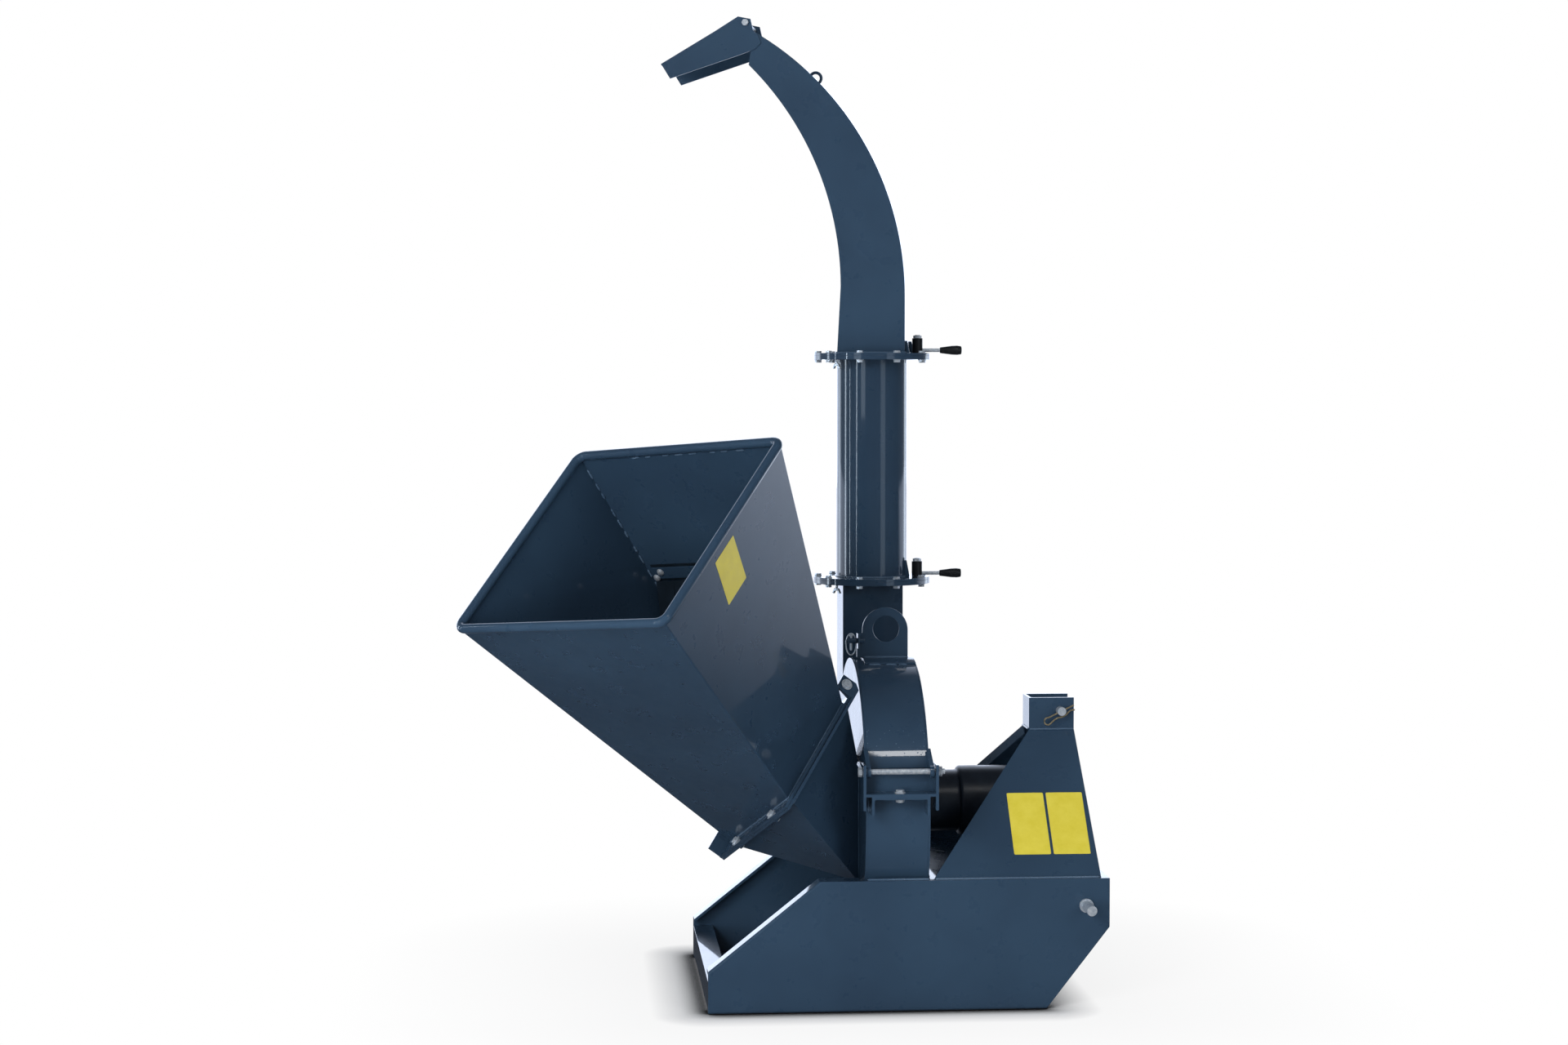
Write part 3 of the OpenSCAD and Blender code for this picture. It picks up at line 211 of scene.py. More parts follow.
# %% Zinc plate, machined steel, primed iron and passivated wire
def bare_metal(name, dark, light, size_mm, rough_low, rough_high, bump, metallic=1.0):
    """Metal with mottling of the given size and a grain just under a millimetre."""
    material, tree, coords = start_material(name)
    mottle = noise(tree, coords, size_mm, 5, 0.6)
    colour = blend_colours(tree, span(tree, mottle, 0, 1), dark, light)
    rough = span(tree, noise(tree, coords, size_mm * 0.4, 4), rough_low, rough_high)
    grain = add_node(tree, "ShaderNodeBump", {"Strength": bump, "Distance": 0.0002},
                     {"Height": noise(tree, coords, 0.9, 2)})
    surface = {"Base Color": colour, "Roughness": rough, "Normal": grain.outputs["Normal"]}
    shader = add_node(tree, "ShaderNodeBsdfPrincipled", {"Metallic": metallic}, surface)
    add_node(tree, "ShaderNodeOutputMaterial", links={"Surface": shader.outputs["BSDF"]})
    return material


zinc = bare_metal("zinc_plate_passivated", "#c4d0dc", "#eef4fa", 6, 0.30, 0.46, 0.25, 0.65)
machined = bare_metal("machined_steel", "#7d8288", "#a2a6aa", 14, 0.28, 0.46, 0.35)
clip_wire = bare_metal("spring_wire_yellow_passivated", "#a3906c", "#d6c7a6",
                       5, 0.26, 0.40, 0.15, 0.75)


def primed_iron():
    """Sand-cast skin, about three millimetres from lump to lump, under matt primer."""
    material, tree, coords = start_material("grey_iron_primed")
    skin = noise(tree, coords, 3.2, 4, 0.7)
    colour = blend_colours(tree, span(tree, skin, 0, 1), "#2b3036", "#3d434a")
    sand = add_node(tree, "ShaderNodeBump", {"Strength": 0.7, "Distance": 0.0006}, {"Height": skin})
    shader = add_node(tree, "ShaderNodeBsdfPrincipled", {"Roughness": 0.55},
                      {"Base Color": colour, "Normal": sand.outputs["Normal"]})
    add_node(tree, "ShaderNodeOutputMaterial", links={"Surface": shader.outputs["BSDF"]})
    return material


iron = primed_iron()
print("made", zinc.name, machined.name, clip_wire.name, iron.name)


# %% [markdown]
# ### Moulded plastic, rubber and vinyl
#
# The drive guard is blow-moulded polyethylene and the clamp handles are moulded nylon. Both are
# near black with a fine spark-eroded grain that scatters the light. The curtain in the hopper is
# cloth-backed rubber with a dusty bloom. The three bare plates are yellow vinyl film that has faded
# and scuffed a little.

# %% Plastic, rubber and vinyl
def soft_sheen(name, dark, light, patch_mm, grain_mm, grain, rough_low, rough_high, coat=0.0):
    """Plastic, rubber or film: broad patches of bloom over a fine moulded grain."""
    material, tree, coords = start_material(name)
    bloom = noise(tree, coords, patch_mm, 5, 0.65)
    colour = blend_colours(tree, span(tree, bloom, 0, 1), dark, light)
    rough = span(tree, noise(tree, coords, patch_mm * 0.5, 5), rough_low, rough_high)
    texture = add_node(tree, "ShaderNodeBump", {"Strength": grain, "Distance": 0.0003},
                       {"Height": noise(tree, coords, grain_mm, 3)})
    surface = {"Base Color": colour, "Roughness": rough, "Normal": texture.outputs["Normal"]}
    shader = add_node(tree, "ShaderNodeBsdfPrincipled", {"IOR": 1.48, "Coat Weight": coat}, surface)
    add_node(tree, "ShaderNodeOutputMaterial", links={"Surface": shader.outputs["BSDF"]})
    return material


guard_plastic = soft_sheen("blow_moulded_polyethylene", "#1a2029", "#222a35",
                           60, 1.1, 0.08, 0.30, 0.38)
grip_plastic = soft_sheen("moulded_nylon_black", "#131517", "#1c1e21", 20, 0.8, 0.30, 0.30, 0.45)
curtain_rubber = soft_sheen("cloth_backed_rubber", "#0f171f", "#18222c", 45, 1.4, 0.60, 0.60, 0.80)
vinyl = soft_sheen("yellow_vinyl_film", "#d9c93f", "#e1d24c", 30, 2.0, 0.10, 0.30, 0.48, 0.2)


# %% [markdown]
# ## Turning meshes into pieces
#
# Most of the machine is sheet and plate whose shape is already right. What a plain solid lacks is
# the small radius that sheared and folded steel has on every edge, which catches the light. The
# construction mesh is loose triangles, so a copy is merged, its flat areas are dissolved back into
# single faces, and its sharp edges get a narrow bevel. The copy then stands in for the solid.
# Weighted normals keep flat areas flat.

# %% Piece helpers
SAME_POINT = 0.00001    # metres: corners closer than this are one corner
FLAT = 0.6              # degrees: faces that differ by less are one face


def save_piece(name, bm, material, body, replaced=(), sharp=32):
    """Makes an object of a mesh, shades it, and lets it ride on a body. Sharp is in degrees."""
    for face in bm.faces:
        face.smooth = True
    for edge in bm.edges:
        edge.smooth = edge.is_manifold and edge.calc_face_angle(0) < radians(sharp)
    mesh = bpy.data.meshes.new(name)
    bm.to_mesh(mesh)
    bm.free()
    mesh.materials.append(material)
    piece = bpy.data.objects.new(name, mesh)
    scene.collection.objects.link(piece)
    shade = piece.modifiers.new("even_shading", "WEIGHTED_NORMAL")
    shade.keep_sharp = True
    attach(piece, body)
    if replaced:
        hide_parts(*replaced)
    print(name, len(mesh.polygons), "faces on", body)


def merged_copy(node):
    """A closed mesh of a construction solid, with its flat areas made whole."""
    bm = bmesh.new()
    bm.from_mesh(frame["nodes"][node].data)
    bmesh.ops.remove_doubles(bm, verts=bm.verts, dist=SAME_POINT)
    bmesh.ops.dissolve_limit(bm, angle_limit=radians(FLAT), use_dissolve_boundaries=False,
                             verts=bm.verts[:], edges=bm.edges[:])
    return bm


def round_off(bm, edges, edge_mm, segments):
    """A bevel of the given width along some edges."""
    bmesh.ops.bevel(bm, geom=edges, offset=edge_mm * MM, offset_type="OFFSET", segments=segments,
                    profile=0.5, affect="EDGES", clamp_overlap=True, material=-1)


def soften(bm, edge_mm, angle=28):
    """A narrow bevel on every edge sharper than the angle."""
    sharp = [e for e in bm.edges if e.is_manifold and e.calc_face_angle(0) > radians(angle)]
    round_off(bm, sharp, edge_mm, 2)
    return bm


def body_of(node):
    """The body that carries a construction node."""
    return frame["nodes"][node]["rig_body"]


def dress(node, material, edge_mm):
    """Replaces a solid with its softened copy."""
    bm = soften(merged_copy(node), edge_mm)
    save_piece(node + "_dressed", bm, material, body_of(node), [node])


def blank():
    """An empty mesh to build in."""
    return bmesh.new()


def join(bm, part):
    """Adds one mesh to another."""
    step = bpy.data.meshes.new("step")
    part.to_mesh(step)
    part.free()
    bm.from_mesh(step)
    bpy.data.meshes.remove(step)


print("piece helpers ready")


# %% [markdown]
# ## Plates and folded sheet
#
# The base, the mast, the housing, the chute and the flanges are all cut and folded steel. Thick
# plate gets a slightly wider edge than sheet. The widths are in millimetres.

# %% Plates and sheet take their softened edges
PLATES = {
    "rear_cross_member": 1.2, "front_cross_member": 1.0,
    "deck_plate": 1.0, "floor_strap": 1.0, "mast_plate_near": 1.4, "mast_plate_far": 1.4,
    "top_link_bracket": 1.4, "lower_front_plate": 0.8, "lower_rear_plate": 0.8, "lower_rim": 0.8,
    "split_flange": 1.0, "upper_front_plate": 0.9, "upper_rear_plate": 0.9, "upper_rim": 0.9,
    "hinge_bracket": 1.0, "hinge_knuckle": 0.9, "lifting_lug": 1.2, "feed_throat": 0.9,
    "throat_flange": 1.1, "hopper_flange": 1.1, "duct_flange": 0.6, "lower_keeper_ring": 0.9,
    "pipe_foot_flange": 0.9, "discharge_pipe": 0.6, "upper_keeper_ring": 0.9, "chute_flange": 0.9,
    "chute_sides": 0.8, "chute_bands": 0.8, "deflector": 0.9, "hopper_rim": 0.4,
}
for node, edge_mm in PLATES.items():
    dress(node, paint, edge_mm)

# %% [markdown]
# The base's side panels are folded, not cut, along the foot and the slope. A press brake leaves an
# outside radius of about the sheet's own thickness there, so those two bends get a wide round
# before the rest of the edges, the one along the deck among them, get their narrow one.

# %% Side panels with round bends
OUTER_FACE = 0.330 - 0.0005     # metres from the middle of the base, less half a millimetre of play
BENDS_END = 0.33                # edges past this x, at the hitch and along the deck, stay narrow
SHORTEST_BEND = 0.05            # anything shorter is the edge of a bore or of a lip


def is_bend(edge):
    """True for the two long outer edges that are folded round."""
    first, second = (v.co for v in edge.verts)
    if min(abs(first.y), abs(second.y)) < OUTER_FACE or edge.calc_length() < SHORTEST_BEND:
        return False
    upright_edge = abs(first.x - second.x) < MM
    return max(first.x, second.x) <= BENDS_END and not upright_edge


for node in ("side_panel_near", "side_panel_far"):
    bm = merged_copy(node)
    round_off(bm, [e for e in bm.edges if is_bend(e)], 6, 5)
    soften(bm, 0.9)
    save_piece(node + "_dressed", bm, paint, body_of(node), [node])


# %% [markdown]
# ## Metal and plastic solids
#
# Pins, bolts, the rotor, the bearings, the drive guard and the clamp handles keep their shape as
# well. Each takes its finish and a softened edge of its own width.

# %% Metal and plastic solids
OTHERS = {
    "lower_hitch_pins": (zinc, 0.8), "top_link_pin": (zinc, 0.8),
    "hinge_rod": (zinc, 0.6), "housing_bolts": (zinc, 0.5),
    "rotor_shaft": (machined, 0.6), "rotor_disc": (machined, 1.0), "fan_paddles": (machined, 0.8),
    "knives": (machined, 0.4), "knife_bolts": (zinc, 0.4), "front_bearing": (iron, 1.2),
    "rear_bearing": (iron, 1.2), "drive_guard": (guard_plastic, 0.9), "bed_knife": (machined, 0.5),
    "hopper_bolts": (zinc, 0.6), "lower_swivel_bolts": (zinc, 0.5),
    "upper_swivel_bolts": (zinc, 0.5), "deflector_bolts": (zinc, 0.6),
    "lower_clamp": (grip_plastic, 1.0), "lower_grip": (grip_plastic, 0.8),
    "upper_clamp": (grip_plastic, 1.0), "upper_grip": (grip_plastic, 0.8),
}
for node, (material, edge_mm) in OTHERS.items():
    dress(node, material, edge_mm)


# %% [markdown]
# ## Tubes, beads and turned parts
#
# Three small builders make the rest. A tube follows a path with its own radius at each point: with
# a steady radius it is wire, and with a rippling one it is a weld bead, whose ripples stand about
# two millimetres apart. A turned part is a profile spun round an axis, which is how washers and
# domed heads begin. A plate is an outline given a thickness.

# %% Builders
BEAD_STEP = 0.0012      # metres from one ring of points to the next along a bead
RIPPLES = 1500          # radians per metre: the sine's lobes stand 2.1 mm apart
BEAD_SHARP = 70         # degrees: a bead is shaded round except at its cut ends


def tube(path, radii, sides=8, closed=False):
    """A mesh swept along points, with one radius for each."""
    bm = blank()
    rings = []
    count = len(path)
    for i, (point, radius) in enumerate(zip(path, radii)):
        after = path[(i + 1) % count] if closed else path[min(i + 1, count - 1)]
        before = path[i - 1] if closed else path[max(i - 1, 0)]
        turn = (after - before).to_track_quat("Z", "Y").to_matrix().to_4x4()
        place = Matrix.Translation(point) @ turn
        circle = bmesh.ops.create_circle(bm, segments=sides, radius=radius, matrix=place)
        rings.append(circle["verts"])
    pairs = zip(rings, rings[1:] + rings[:1]) if closed else zip(rings, rings[1:])
    for first, second in pairs:
        for k in range(sides):
            bm.faces.new((first[k], first[(k + 1) % sides], second[(k + 1) % sides], second[k]))
    if not closed:
        bm.faces.new(rings[0])
        bm.faces.new(rings[-1])
    bmesh.ops.recalc_face_normals(bm, faces=bm.faces)
    return bm


def weld_bead(corners, radius_mm=2.6, closed=False):
    """A bead with overlapping ripples along straight runs between corners given in metres."""
    path, radii, run = [], [], 0.0
    stops = corners[1:] + corners[:1] if closed else corners[1:]
    for start, end in zip(corners, stops):
        steps = max(2, round((end - start).length / BEAD_STEP))
        for k in range(steps):
            path.append(start.lerp(end, k / steps))
            wander = 0.10 * sin(run * 900) * cos(run * 310) + 0.14 * abs(sin(run * RIPPLES))
            radii.append(radius_mm * MM * (0.86 + wander))
            run += (end - start).length / steps
    if not closed:
        path.append(corners[-1])
        radii = [r * min(1, 0.35 + 0.2 * min(i, len(radii) - i)) for i, r in enumerate(radii)]
        radii.append(radii[0])
    return tube(path, radii, 8, closed)


def stitches(start, end, bead_mm=22, pitch_mm=46, radius_mm=2.4):
    """Short beads along a line, a little uneven in length and spacing."""
    bm = blank()
    length = (end - start).length
    for k in range(int(length / (pitch_mm * MM))):
        low = (k * pitch_mm + 6 + 5 * sin(k * 2.4)) * MM / length
        high = low + bead_mm * MM * (1 + 0.2 * cos(k * 1.7)) / length
        join(bm, weld_bead([start.lerp(end, low), start.lerp(end, min(high, 1))], radius_mm))
    return bm


def turned(profile, place, steps=32):
    """Spins (radius, height) points in millimetres round Z, then puts the part in place."""
    bm = blank()
    verts = [bm.verts.new((r * MM, 0, h * MM)) for r, h in profile]
    edges = [bm.edges.new(pair) for pair in zip(verts, verts[1:] + verts[:1])]
    bmesh.ops.spin(bm, geom=verts + edges, cent=(0, 0, 0), axis=(0, 0, 1), angle=radians(360),
                   steps=steps, use_merge=True)
    bmesh.ops.remove_doubles(bm, verts=bm.verts, dist=0.000001)
    bmesh.ops.recalc_face_normals(bm, faces=bm.faces)
    bmesh.ops.transform(bm, matrix=place, verts=bm.verts)
    return bm


def plate(outline, thickness_mm, place, edge_mm):
    """A flat outline in millimetres, thickened upwards, with softened edges."""
    bm = blank()
    face = bm.faces.new([bm.verts.new((x * MM, y * MM, 0)) for x, y in outline])
    raised = bmesh.ops.extrude_face_region(bm, geom=[face])["geom"]
    top = [item for item in raised if isinstance(item, bmesh.types.BMVert)]
    bmesh.ops.translate(bm, verts=top, vec=(0, 0, thickness_mm * MM))
    bmesh.ops.recalc_face_normals(bm, faces=bm.faces)
    soften(bm, edge_mm)
    bmesh.ops.transform(bm, matrix=place, verts=bm.verts)
    return bm


def frame_at(origin, x_axis, y_axis, z_axis):
    """A placement from three unit vectors and an origin in metres."""
    place = Matrix((x_axis, y_axis, z_axis)).transposed().to_4x4()
    place.translation = origin
    return place


def mm(x, y, z):
    """A point given in millimetres."""
    return Vector((x, y, z)) * MM


def shift(x, y, z):
    """A move given in millimetres."""
    return Matrix.Translation(mm(x, y, z))


def spun(degrees, axis):
    """A turn about one of the three axes."""
    return Matrix.Rotation(radians(degrees), 4, axis)


def upright(x, y, z, axis=(0, 0, 1)):
    """A placement at a point in millimetres whose Z looks along the axis."""
    turn = Vector(axis).to_track_quat("Z", "Y").to_matrix().to_4x4()
    return shift(x, y, z) @ turn


print("builders ready")


# %% [markdown]
# ## The hopper's own axes
#
# The hopper leans back, turns away and tips a little, so its details are easiest to place in its
# own axes: along the lower lip of the mouth, up the mouth, and inward. The bolted flange has a
# plane of its own as well, which is skewed because the far wall is longer than the near one.
# Lengths here are in millimetres.

# %% Axes of the hopper and of its flange
turn, lean, tip = radians(139.3), radians(39.7), radians(4.1)
along = Vector((cos(tip) * cos(turn), cos(tip) * sin(turn), -sin(tip)))
level = Vector((sin(turn), -cos(turn), 0))
rising = cos(lean) * level + sin(lean) * level.cross(along)
inward = along.cross(rising)
MOUTH = 530                          # side of the square mouth
NEAR_SIDE, NEAR_DEEP = 173, 694      # where the flange's near side lies, along the lip and inward
FAR_SIDE, FAR_DEEP = 467, 899        # the same for its far side
FLANGE_RUN = 358.4                   # from one to the other in the flange's own plane
LOW_NEAR = (NEAR_SIDE, 199.9, NEAR_DEEP)
flange_corner = mm(-239.4, -372.7, 464.4)
from_mouth = LOW_NEAR[0] * along + LOW_NEAR[1] * rising + LOW_NEAR[2] * inward
mouth_corner = flange_corner - MM * from_mouth
HOPPER = frame_at(mouth_corner, along, rising, inward)
FLANGE_RING = [Vector(p) * MM for p in (LOW_NEAR, (NEAR_SIDE, 483.9, NEAR_DEEP),
                                        (FAR_SIDE, 470.3, FAR_DEEP), (FAR_SIDE, 258.9, FAR_DEEP))]
MOUTH_RING = [Vector(p) * MM for p in ((0, 0, 0), (0, MOUTH, 0), (MOUTH, MOUTH, 0), (MOUTH, 0, 0))]
skew = math.atan2(FAR_DEEP - NEAR_DEEP, FAR_SIDE - NEAR_SIDE)
FLANGE = HOPPER @ frame_at(FLANGE_RING[0], Vector((0, 1, 0)), Vector((cos(skew), 0, sin(skew))),
                           Vector((sin(skew), 0, -cos(skew))))
print("mouth corner", [round(x, 4) for x in mouth_corner])


# %% [markdown]
# ## Hopper shell
#
# The four walls are one welded skin, so one closed shell stands for them. It is made of an outer
# and an inner ring of corners at each end, bridged into sheet three millimetres thick. The four
# long corners are folded or dressed round, which shows as a fine bright line down each of them.

# %% Hopper walls as one skin
SHEET = 3           # millimetres
BEHIND_RIM = 0.008  # metres from the mouth to where the sheet begins, inside the rim tube


def drawn_in(ring, by_mm):
    """Moves the sides of a ring of four corners inwards by some millimetres."""
    moved = []
    for i, corner in enumerate(ring):
        ahead = (ring[(i + 1) % 4] - corner).normalized()
        behind = (ring[i - 1] - corner).normalized()
        moved.append(corner + (ahead + behind) * by_mm * MM / ahead.cross(behind).length)
    return moved


seat = [mouth.lerp(flange, BEHIND_RIM / flange.z) for mouth, flange in zip(MOUTH_RING, FLANGE_RING)]
bm = blank()
rings = [[bm.verts.new(p) for p in ring]
         for ring in (seat, FLANGE_RING, drawn_in(FLANGE_RING, SHEET), drawn_in(seat, SHEET))]
for first, second in zip(rings, rings[1:] + rings[:1]):
    for k in range(4):
        bm.faces.new((first[k], first[(k + 1) % 4], second[(k + 1) % 4], second[k]))
bmesh.ops.recalc_face_normals(bm, faces=bm.faces)
outer_corners = [bm.edges.get(pair) for pair in zip(rings[0], rings[1])]
round_off(bm, outer_corners, 3.2, 4)
bmesh.ops.transform(bm, matrix=HOPPER, verts=bm.verts)
save_piece("hopper_skin", bm, paint, "hopper",
           ["hopper_floor", "hopper_near_wall", "hopper_roof", "hopper_far_wall"])


# %% [markdown]
# ## In-feed curtain
#
# A rubber sheet hangs across the hopper so that chips can't fly back. A flat steel bar clamps its
# upper edge against the roof. Below the bar the sheet hangs plumb, and slits divide it into strips
# that part around a branch. The hopper narrows, so the sheet does too. Each strip has taken a
# slightly different set.

# %% Curtain strips and header
ROOF_AT_MOUTH, ROOF_FALL = 526.95, 0.0664    # its inner face, and how it drops per mm inward
HUNG_AT = 335                                # how far in the bar sits
LEFT, RIGHT = 98.5, 491.5                    # ends of the sheet's upper edge
LEFT_IN, RIGHT_IN = 49.9, 14                 # how far the sheet narrows on each side
LENGTH, STRIPS = 200, 8
SLIT, OVERLAP = 0.9, -0.2                    # half the gap between strips, below and at the top
SLITS_END = 20                               # down to this depth they overlap
BACK, FRONT = -4.5, -0.5                     # the sheet's two faces
roof_slope = math.atan(ROOF_FALL)
plumb = math.atan2(inward.z, rising.z)
hook = HOPPER @ shift(0, ROOF_AT_MOUTH - ROOF_FALL * HUNG_AT, HUNG_AT)
hook = hook @ Matrix.Rotation(roof_slope, 4, "X")
drop = hook @ shift(0, -5, 0) @ Matrix.Rotation(plumb - roof_slope, 4, "X")
under_roof = hook @ spun(-90, "X")
bm = blank()
for k in range(STRIPS):
    corners = []
    for depth in (0, 26, 60, 100, 140, 175, LENGTH):
        share = depth / LENGTH
        left = LEFT + LEFT_IN * share
        right = RIGHT - RIGHT_IN * share
        pitch = (right - left) / STRIPS
        gap = SLIT if depth > SLITS_END else OVERLAP
        set_mm = 1.6 * sin(k * 2.1 + 0.6) * share * share
        corners.append((left + pitch * k + gap, left + pitch * (k + 1) - gap, -depth, set_mm))
    strip = blank()
    rows = []
    for a, b, d, s in corners:
        around = ((a, BACK), (b, BACK), (b, FRONT), (a, FRONT))
        rows.append([strip.verts.new(mm(x, d, s + face)) for x, face in around])
    for upper, lower in zip(rows, rows[1:]):
        for i in range(4):
            strip.faces.new((upper[i], upper[(i + 1) % 4], lower[(i + 1) % 4], lower[i]))
    strip.faces.new(rows[0])
    strip.faces.new(rows[-1])
    bmesh.ops.recalc_face_normals(strip, faces=strip.faces)
    soften(strip, 0.6)
    join(bm, strip)
bmesh.ops.transform(bm, matrix=drop, verts=bm.verts)
header = [(LEFT, 0), (RIGHT, 0), (RIGHT, 42), (LEFT, 42)]
join(bm, plate(header, 2.6, under_roof @ shift(0, 0, -2.6), 0.4))
save_piece("curtain_strips", bm, curtain_rubber, "hopper", ["infeed_curtain"])
bar = [(100, 6), (490, 6), (490, 36), (100, 36)]
save_piece("curtain_bar", plate(bar, 2.2, under_roof @ shift(0, 0, -5), 0.5), paint, "hopper")

# %% [markdown]
# Domed bolts hold the bar. Three sit along it, and a fourth beside the one on its right.

# %% Domed bolts of the curtain bar
DOME = [(0, 0), (8.5, 0), (8.3, 1.4), (7.0, 3.1), (4.6, 4.4), (2.0, 4.9), (0, 5.0)]
bm = blank()
for x, z in ((470, -24), (487, -9), (295, -21), (120, -21)):
    place = hook @ shift(x, -4.8, z) @ spun(90, "X")
    join(bm, turned(DOME, place, 28))
save_piece("curtain_bolts", bm, zinc, "hopper")


# %% [markdown]
# ## Weld beads
#
# The seams are welded before painting, so every bead carries the same powder coat. Its colour is
# mixed lighter than the rest of the paint, a painted highlight for the light its ripples catch.
# Long seams that only hold sheet in place are stitched: a short bead, a gap, a short bead. Loaded
# feet are welded all along. Fine spatter has stuck to the strap above the hinge, and it carries the
# same lighter coat.

# %% Beads on the base, the mast and the lower housing
bm = blank()
for side in (-1, 1):    # near and far on the base and the mast, left and right on the hinge bracket
    join(bm, weld_bead([mm(80, side * 321.4, 281.2), mm(434, side * 321.4, 281.2)], 2.8))
    join(bm, weld_bead([mm(-66, side * 321.6, 281.4), mm(67, side * 321.6, 281.4)], 2.8))
    join(bm, weld_bead([mm(326, side * 44, 567.2), mm(425, side * 44, 567.2)], 2.4))
    join(bm, weld_bead([mm(side * 63.4, -321.2, 427), mm(side * 63.4, -321.2, 463)], 2.4))
join(bm, weld_bead([mm(323.8, -41, 567.2), mm(323.8, 41, 567.2)], 2.4))
join(bm, weld_bead([mm(-60, -321.2, 472.2), mm(60, -321.2, 472.2)], 2.4))
join(bm, stitches(mm(70.4, -290, 281.2), mm(70.4, 290, 281.2), 30, 62, 2.6))
join(bm, weld_bead([mm(-70.2, -67, 506), mm(-70.2, -163.4, 506), mm(-70.2, -163.4, 255)], 2.6))
save_piece("base_welds", bm, weld_coat_painted_highlight, "frame", sharp=BEAD_SHARP)

# %% [markdown]
# Both feed flanges are welded along two of their sides, on the face turned away from the joint.
# Inside the hopper three corners and the edge under the rim are stitched.

# %% Beads on the two feed flanges
EDGE = [(284, -1.6), (-1.6, -1.6), (57.4, 360)]
bm = blank()
join(bm, weld_bead([FLANGE @ mm(x, y, -13.6) for x, y in EDGE], 2.8))
save_piece("throat_welds", bm, weld_coat_painted_highlight, "frame", sharp=BEAD_SHARP)
bm = blank()
join(bm, weld_bead([FLANGE @ mm(x, y, 1.2) for x, y in EDGE], 2.4))
inner_mouth, inner_flange = drawn_in(MOUTH_RING, 4.6), drawn_in(FLANGE_RING, 4.6)
for k in (0, 2, 3):
    start, end = HOPPER @ inner_mouth[k].lerp(inner_flange[k], 0.03), HOPPER @ inner_flange[k]
    join(bm, stitches(start, end, 20, 34 if k == 2 else 52, 2.6))
join(bm, stitches(HOPPER @ mm(90, 526, 12), HOPPER @ mm(440, 526, 12), 18, 40, 2.2))
save_piece("hopper_welds", bm, weld_coat_painted_highlight, "hopper", sharp=BEAD_SHARP)

# %% [markdown]
# The upper housing carries the lug's two beads, stitches along the edge of the lug's saddle, and
# spatter over the hinge. The pipe is welded to its foot flange all round, and the chute to its own.

# %% Beads on the upper housing, the pipe and the chute
AXIS_HIGH, HOUSING_R, SADDLE_R = 404, 320, 324    # rotor axis, housing, and the lug's saddle on it
PIPE_X, PIPE_Y = 4, 251.5                         # axis of the pipe and of both swivels
LOWER_FOOT, UPPER_FOOT = 891, 1405                # top of each swivel's stack of flanges
CHUTE_TURN = -12                                  # degrees that the chute is swivelled by


def arc(x, y, z, radius, steps=96):
    """Points of a level circle, in metres."""
    angles = [radians(360 * k / steps) for k in range(steps)]
    return [mm(x + radius * cos(a), y + radius * sin(a), z) for a in angles]


bm = blank()
for y in (-21.4, -10.6):
    height = AXIS_HIGH + math.sqrt(SADDLE_R ** 2 - y ** 2) + 1.0
    join(bm, weld_bead([mm(-44, y, height), mm(54, y, height)], 2.6))
join(bm, stitches(mm(-44, -71.2, 716.2), mm(66, -71.2, 716.2), 24, 36, 2.4))
save_piece("lug_welds", bm, weld_coat_painted_highlight, "upper_housing", sharp=BEAD_SHARP)
bm = blank()
for k in range(34):
    x, z = 62 * sin(k * 7.3), 566 + 27 * sin(k * 4.1)
    y = -math.sqrt(HOUSING_R ** 2 - (z - AXIS_HIGH) ** 2)
    place = shift(x, y, z) @ Matrix.Scale(0.6, 4, (0, 1, 0))
    droplet = (0.9 + 0.6 * cos(k * 2.9) ** 2) * MM
    bmesh.ops.create_icosphere(bm, subdivisions=2, radius=droplet, matrix=place)
save_piece("hinge_spatter", bm, weld_coat_painted_highlight, "upper_housing", sharp=BEAD_SHARP)
bm = weld_bead(arc(PIPE_X, PIPE_Y, 892.2, 82.2), 2.4, True)
save_piece("pipe_welds", bm, weld_coat_painted_highlight, "discharge", sharp=BEAD_SHARP)
CHUTE = shift(PIPE_X, PIPE_Y, UPPER_FOOT) @ spun(CHUTE_TURN, "Z")
foot = [CHUTE @ mm(x, y, 1.2) for x, y in ((-73, -76), (84, -76), (84, 76), (-73, 76))]
bm = weld_bead(foot, 2.2, True)
save_piece("chute_welds", bm, weld_coat_painted_highlight, "chute", sharp=BEAD_SHARP)


# %% [markdown]
# ## Small parts
#
# Narrow gussets of four-millimetre plate stiffen the foot of the pipe and of the chute. Their two
# thin ends are cut off square.

# %% Gussets
GUSSET = 4      # millimetres, for the plate and for its two cut ends


def gusset(place, width, height):
    """A nearly three-cornered plate that stands on its foot and against a wall."""
    outline = [(0, 0), (width, 0), (width, GUSSET), (GUSSET, height), (0, height)]
    upright_plate = spun(90, "X") @ shift(0, 0, -GUSSET / 2)
    return plate(outline, GUSSET, place @ upright_plate, 0.5)


bm = blank()
for angle in (-25, 60, 145):
    turned_foot = shift(PIPE_X, PIPE_Y, LOWER_FOOT) @ spun(angle, "Z")
    join(bm, gusset(turned_foot @ shift(80.8, 0, 0), 11, 38))
save_piece("pipe_gussets", bm, paint, "discharge")
bm = blank()
for y in (-58, 58):
    join(bm, gusset(CHUTE @ shift(83, y, 0), 9, 28))
save_piece("chute_gussets", bm, paint, "chute")

# %% [markdown]
# Each clamp handle is a bright steel rod with a black grip on its end. The rod leaves the clamp's
# sleeve level, towards the hitch.

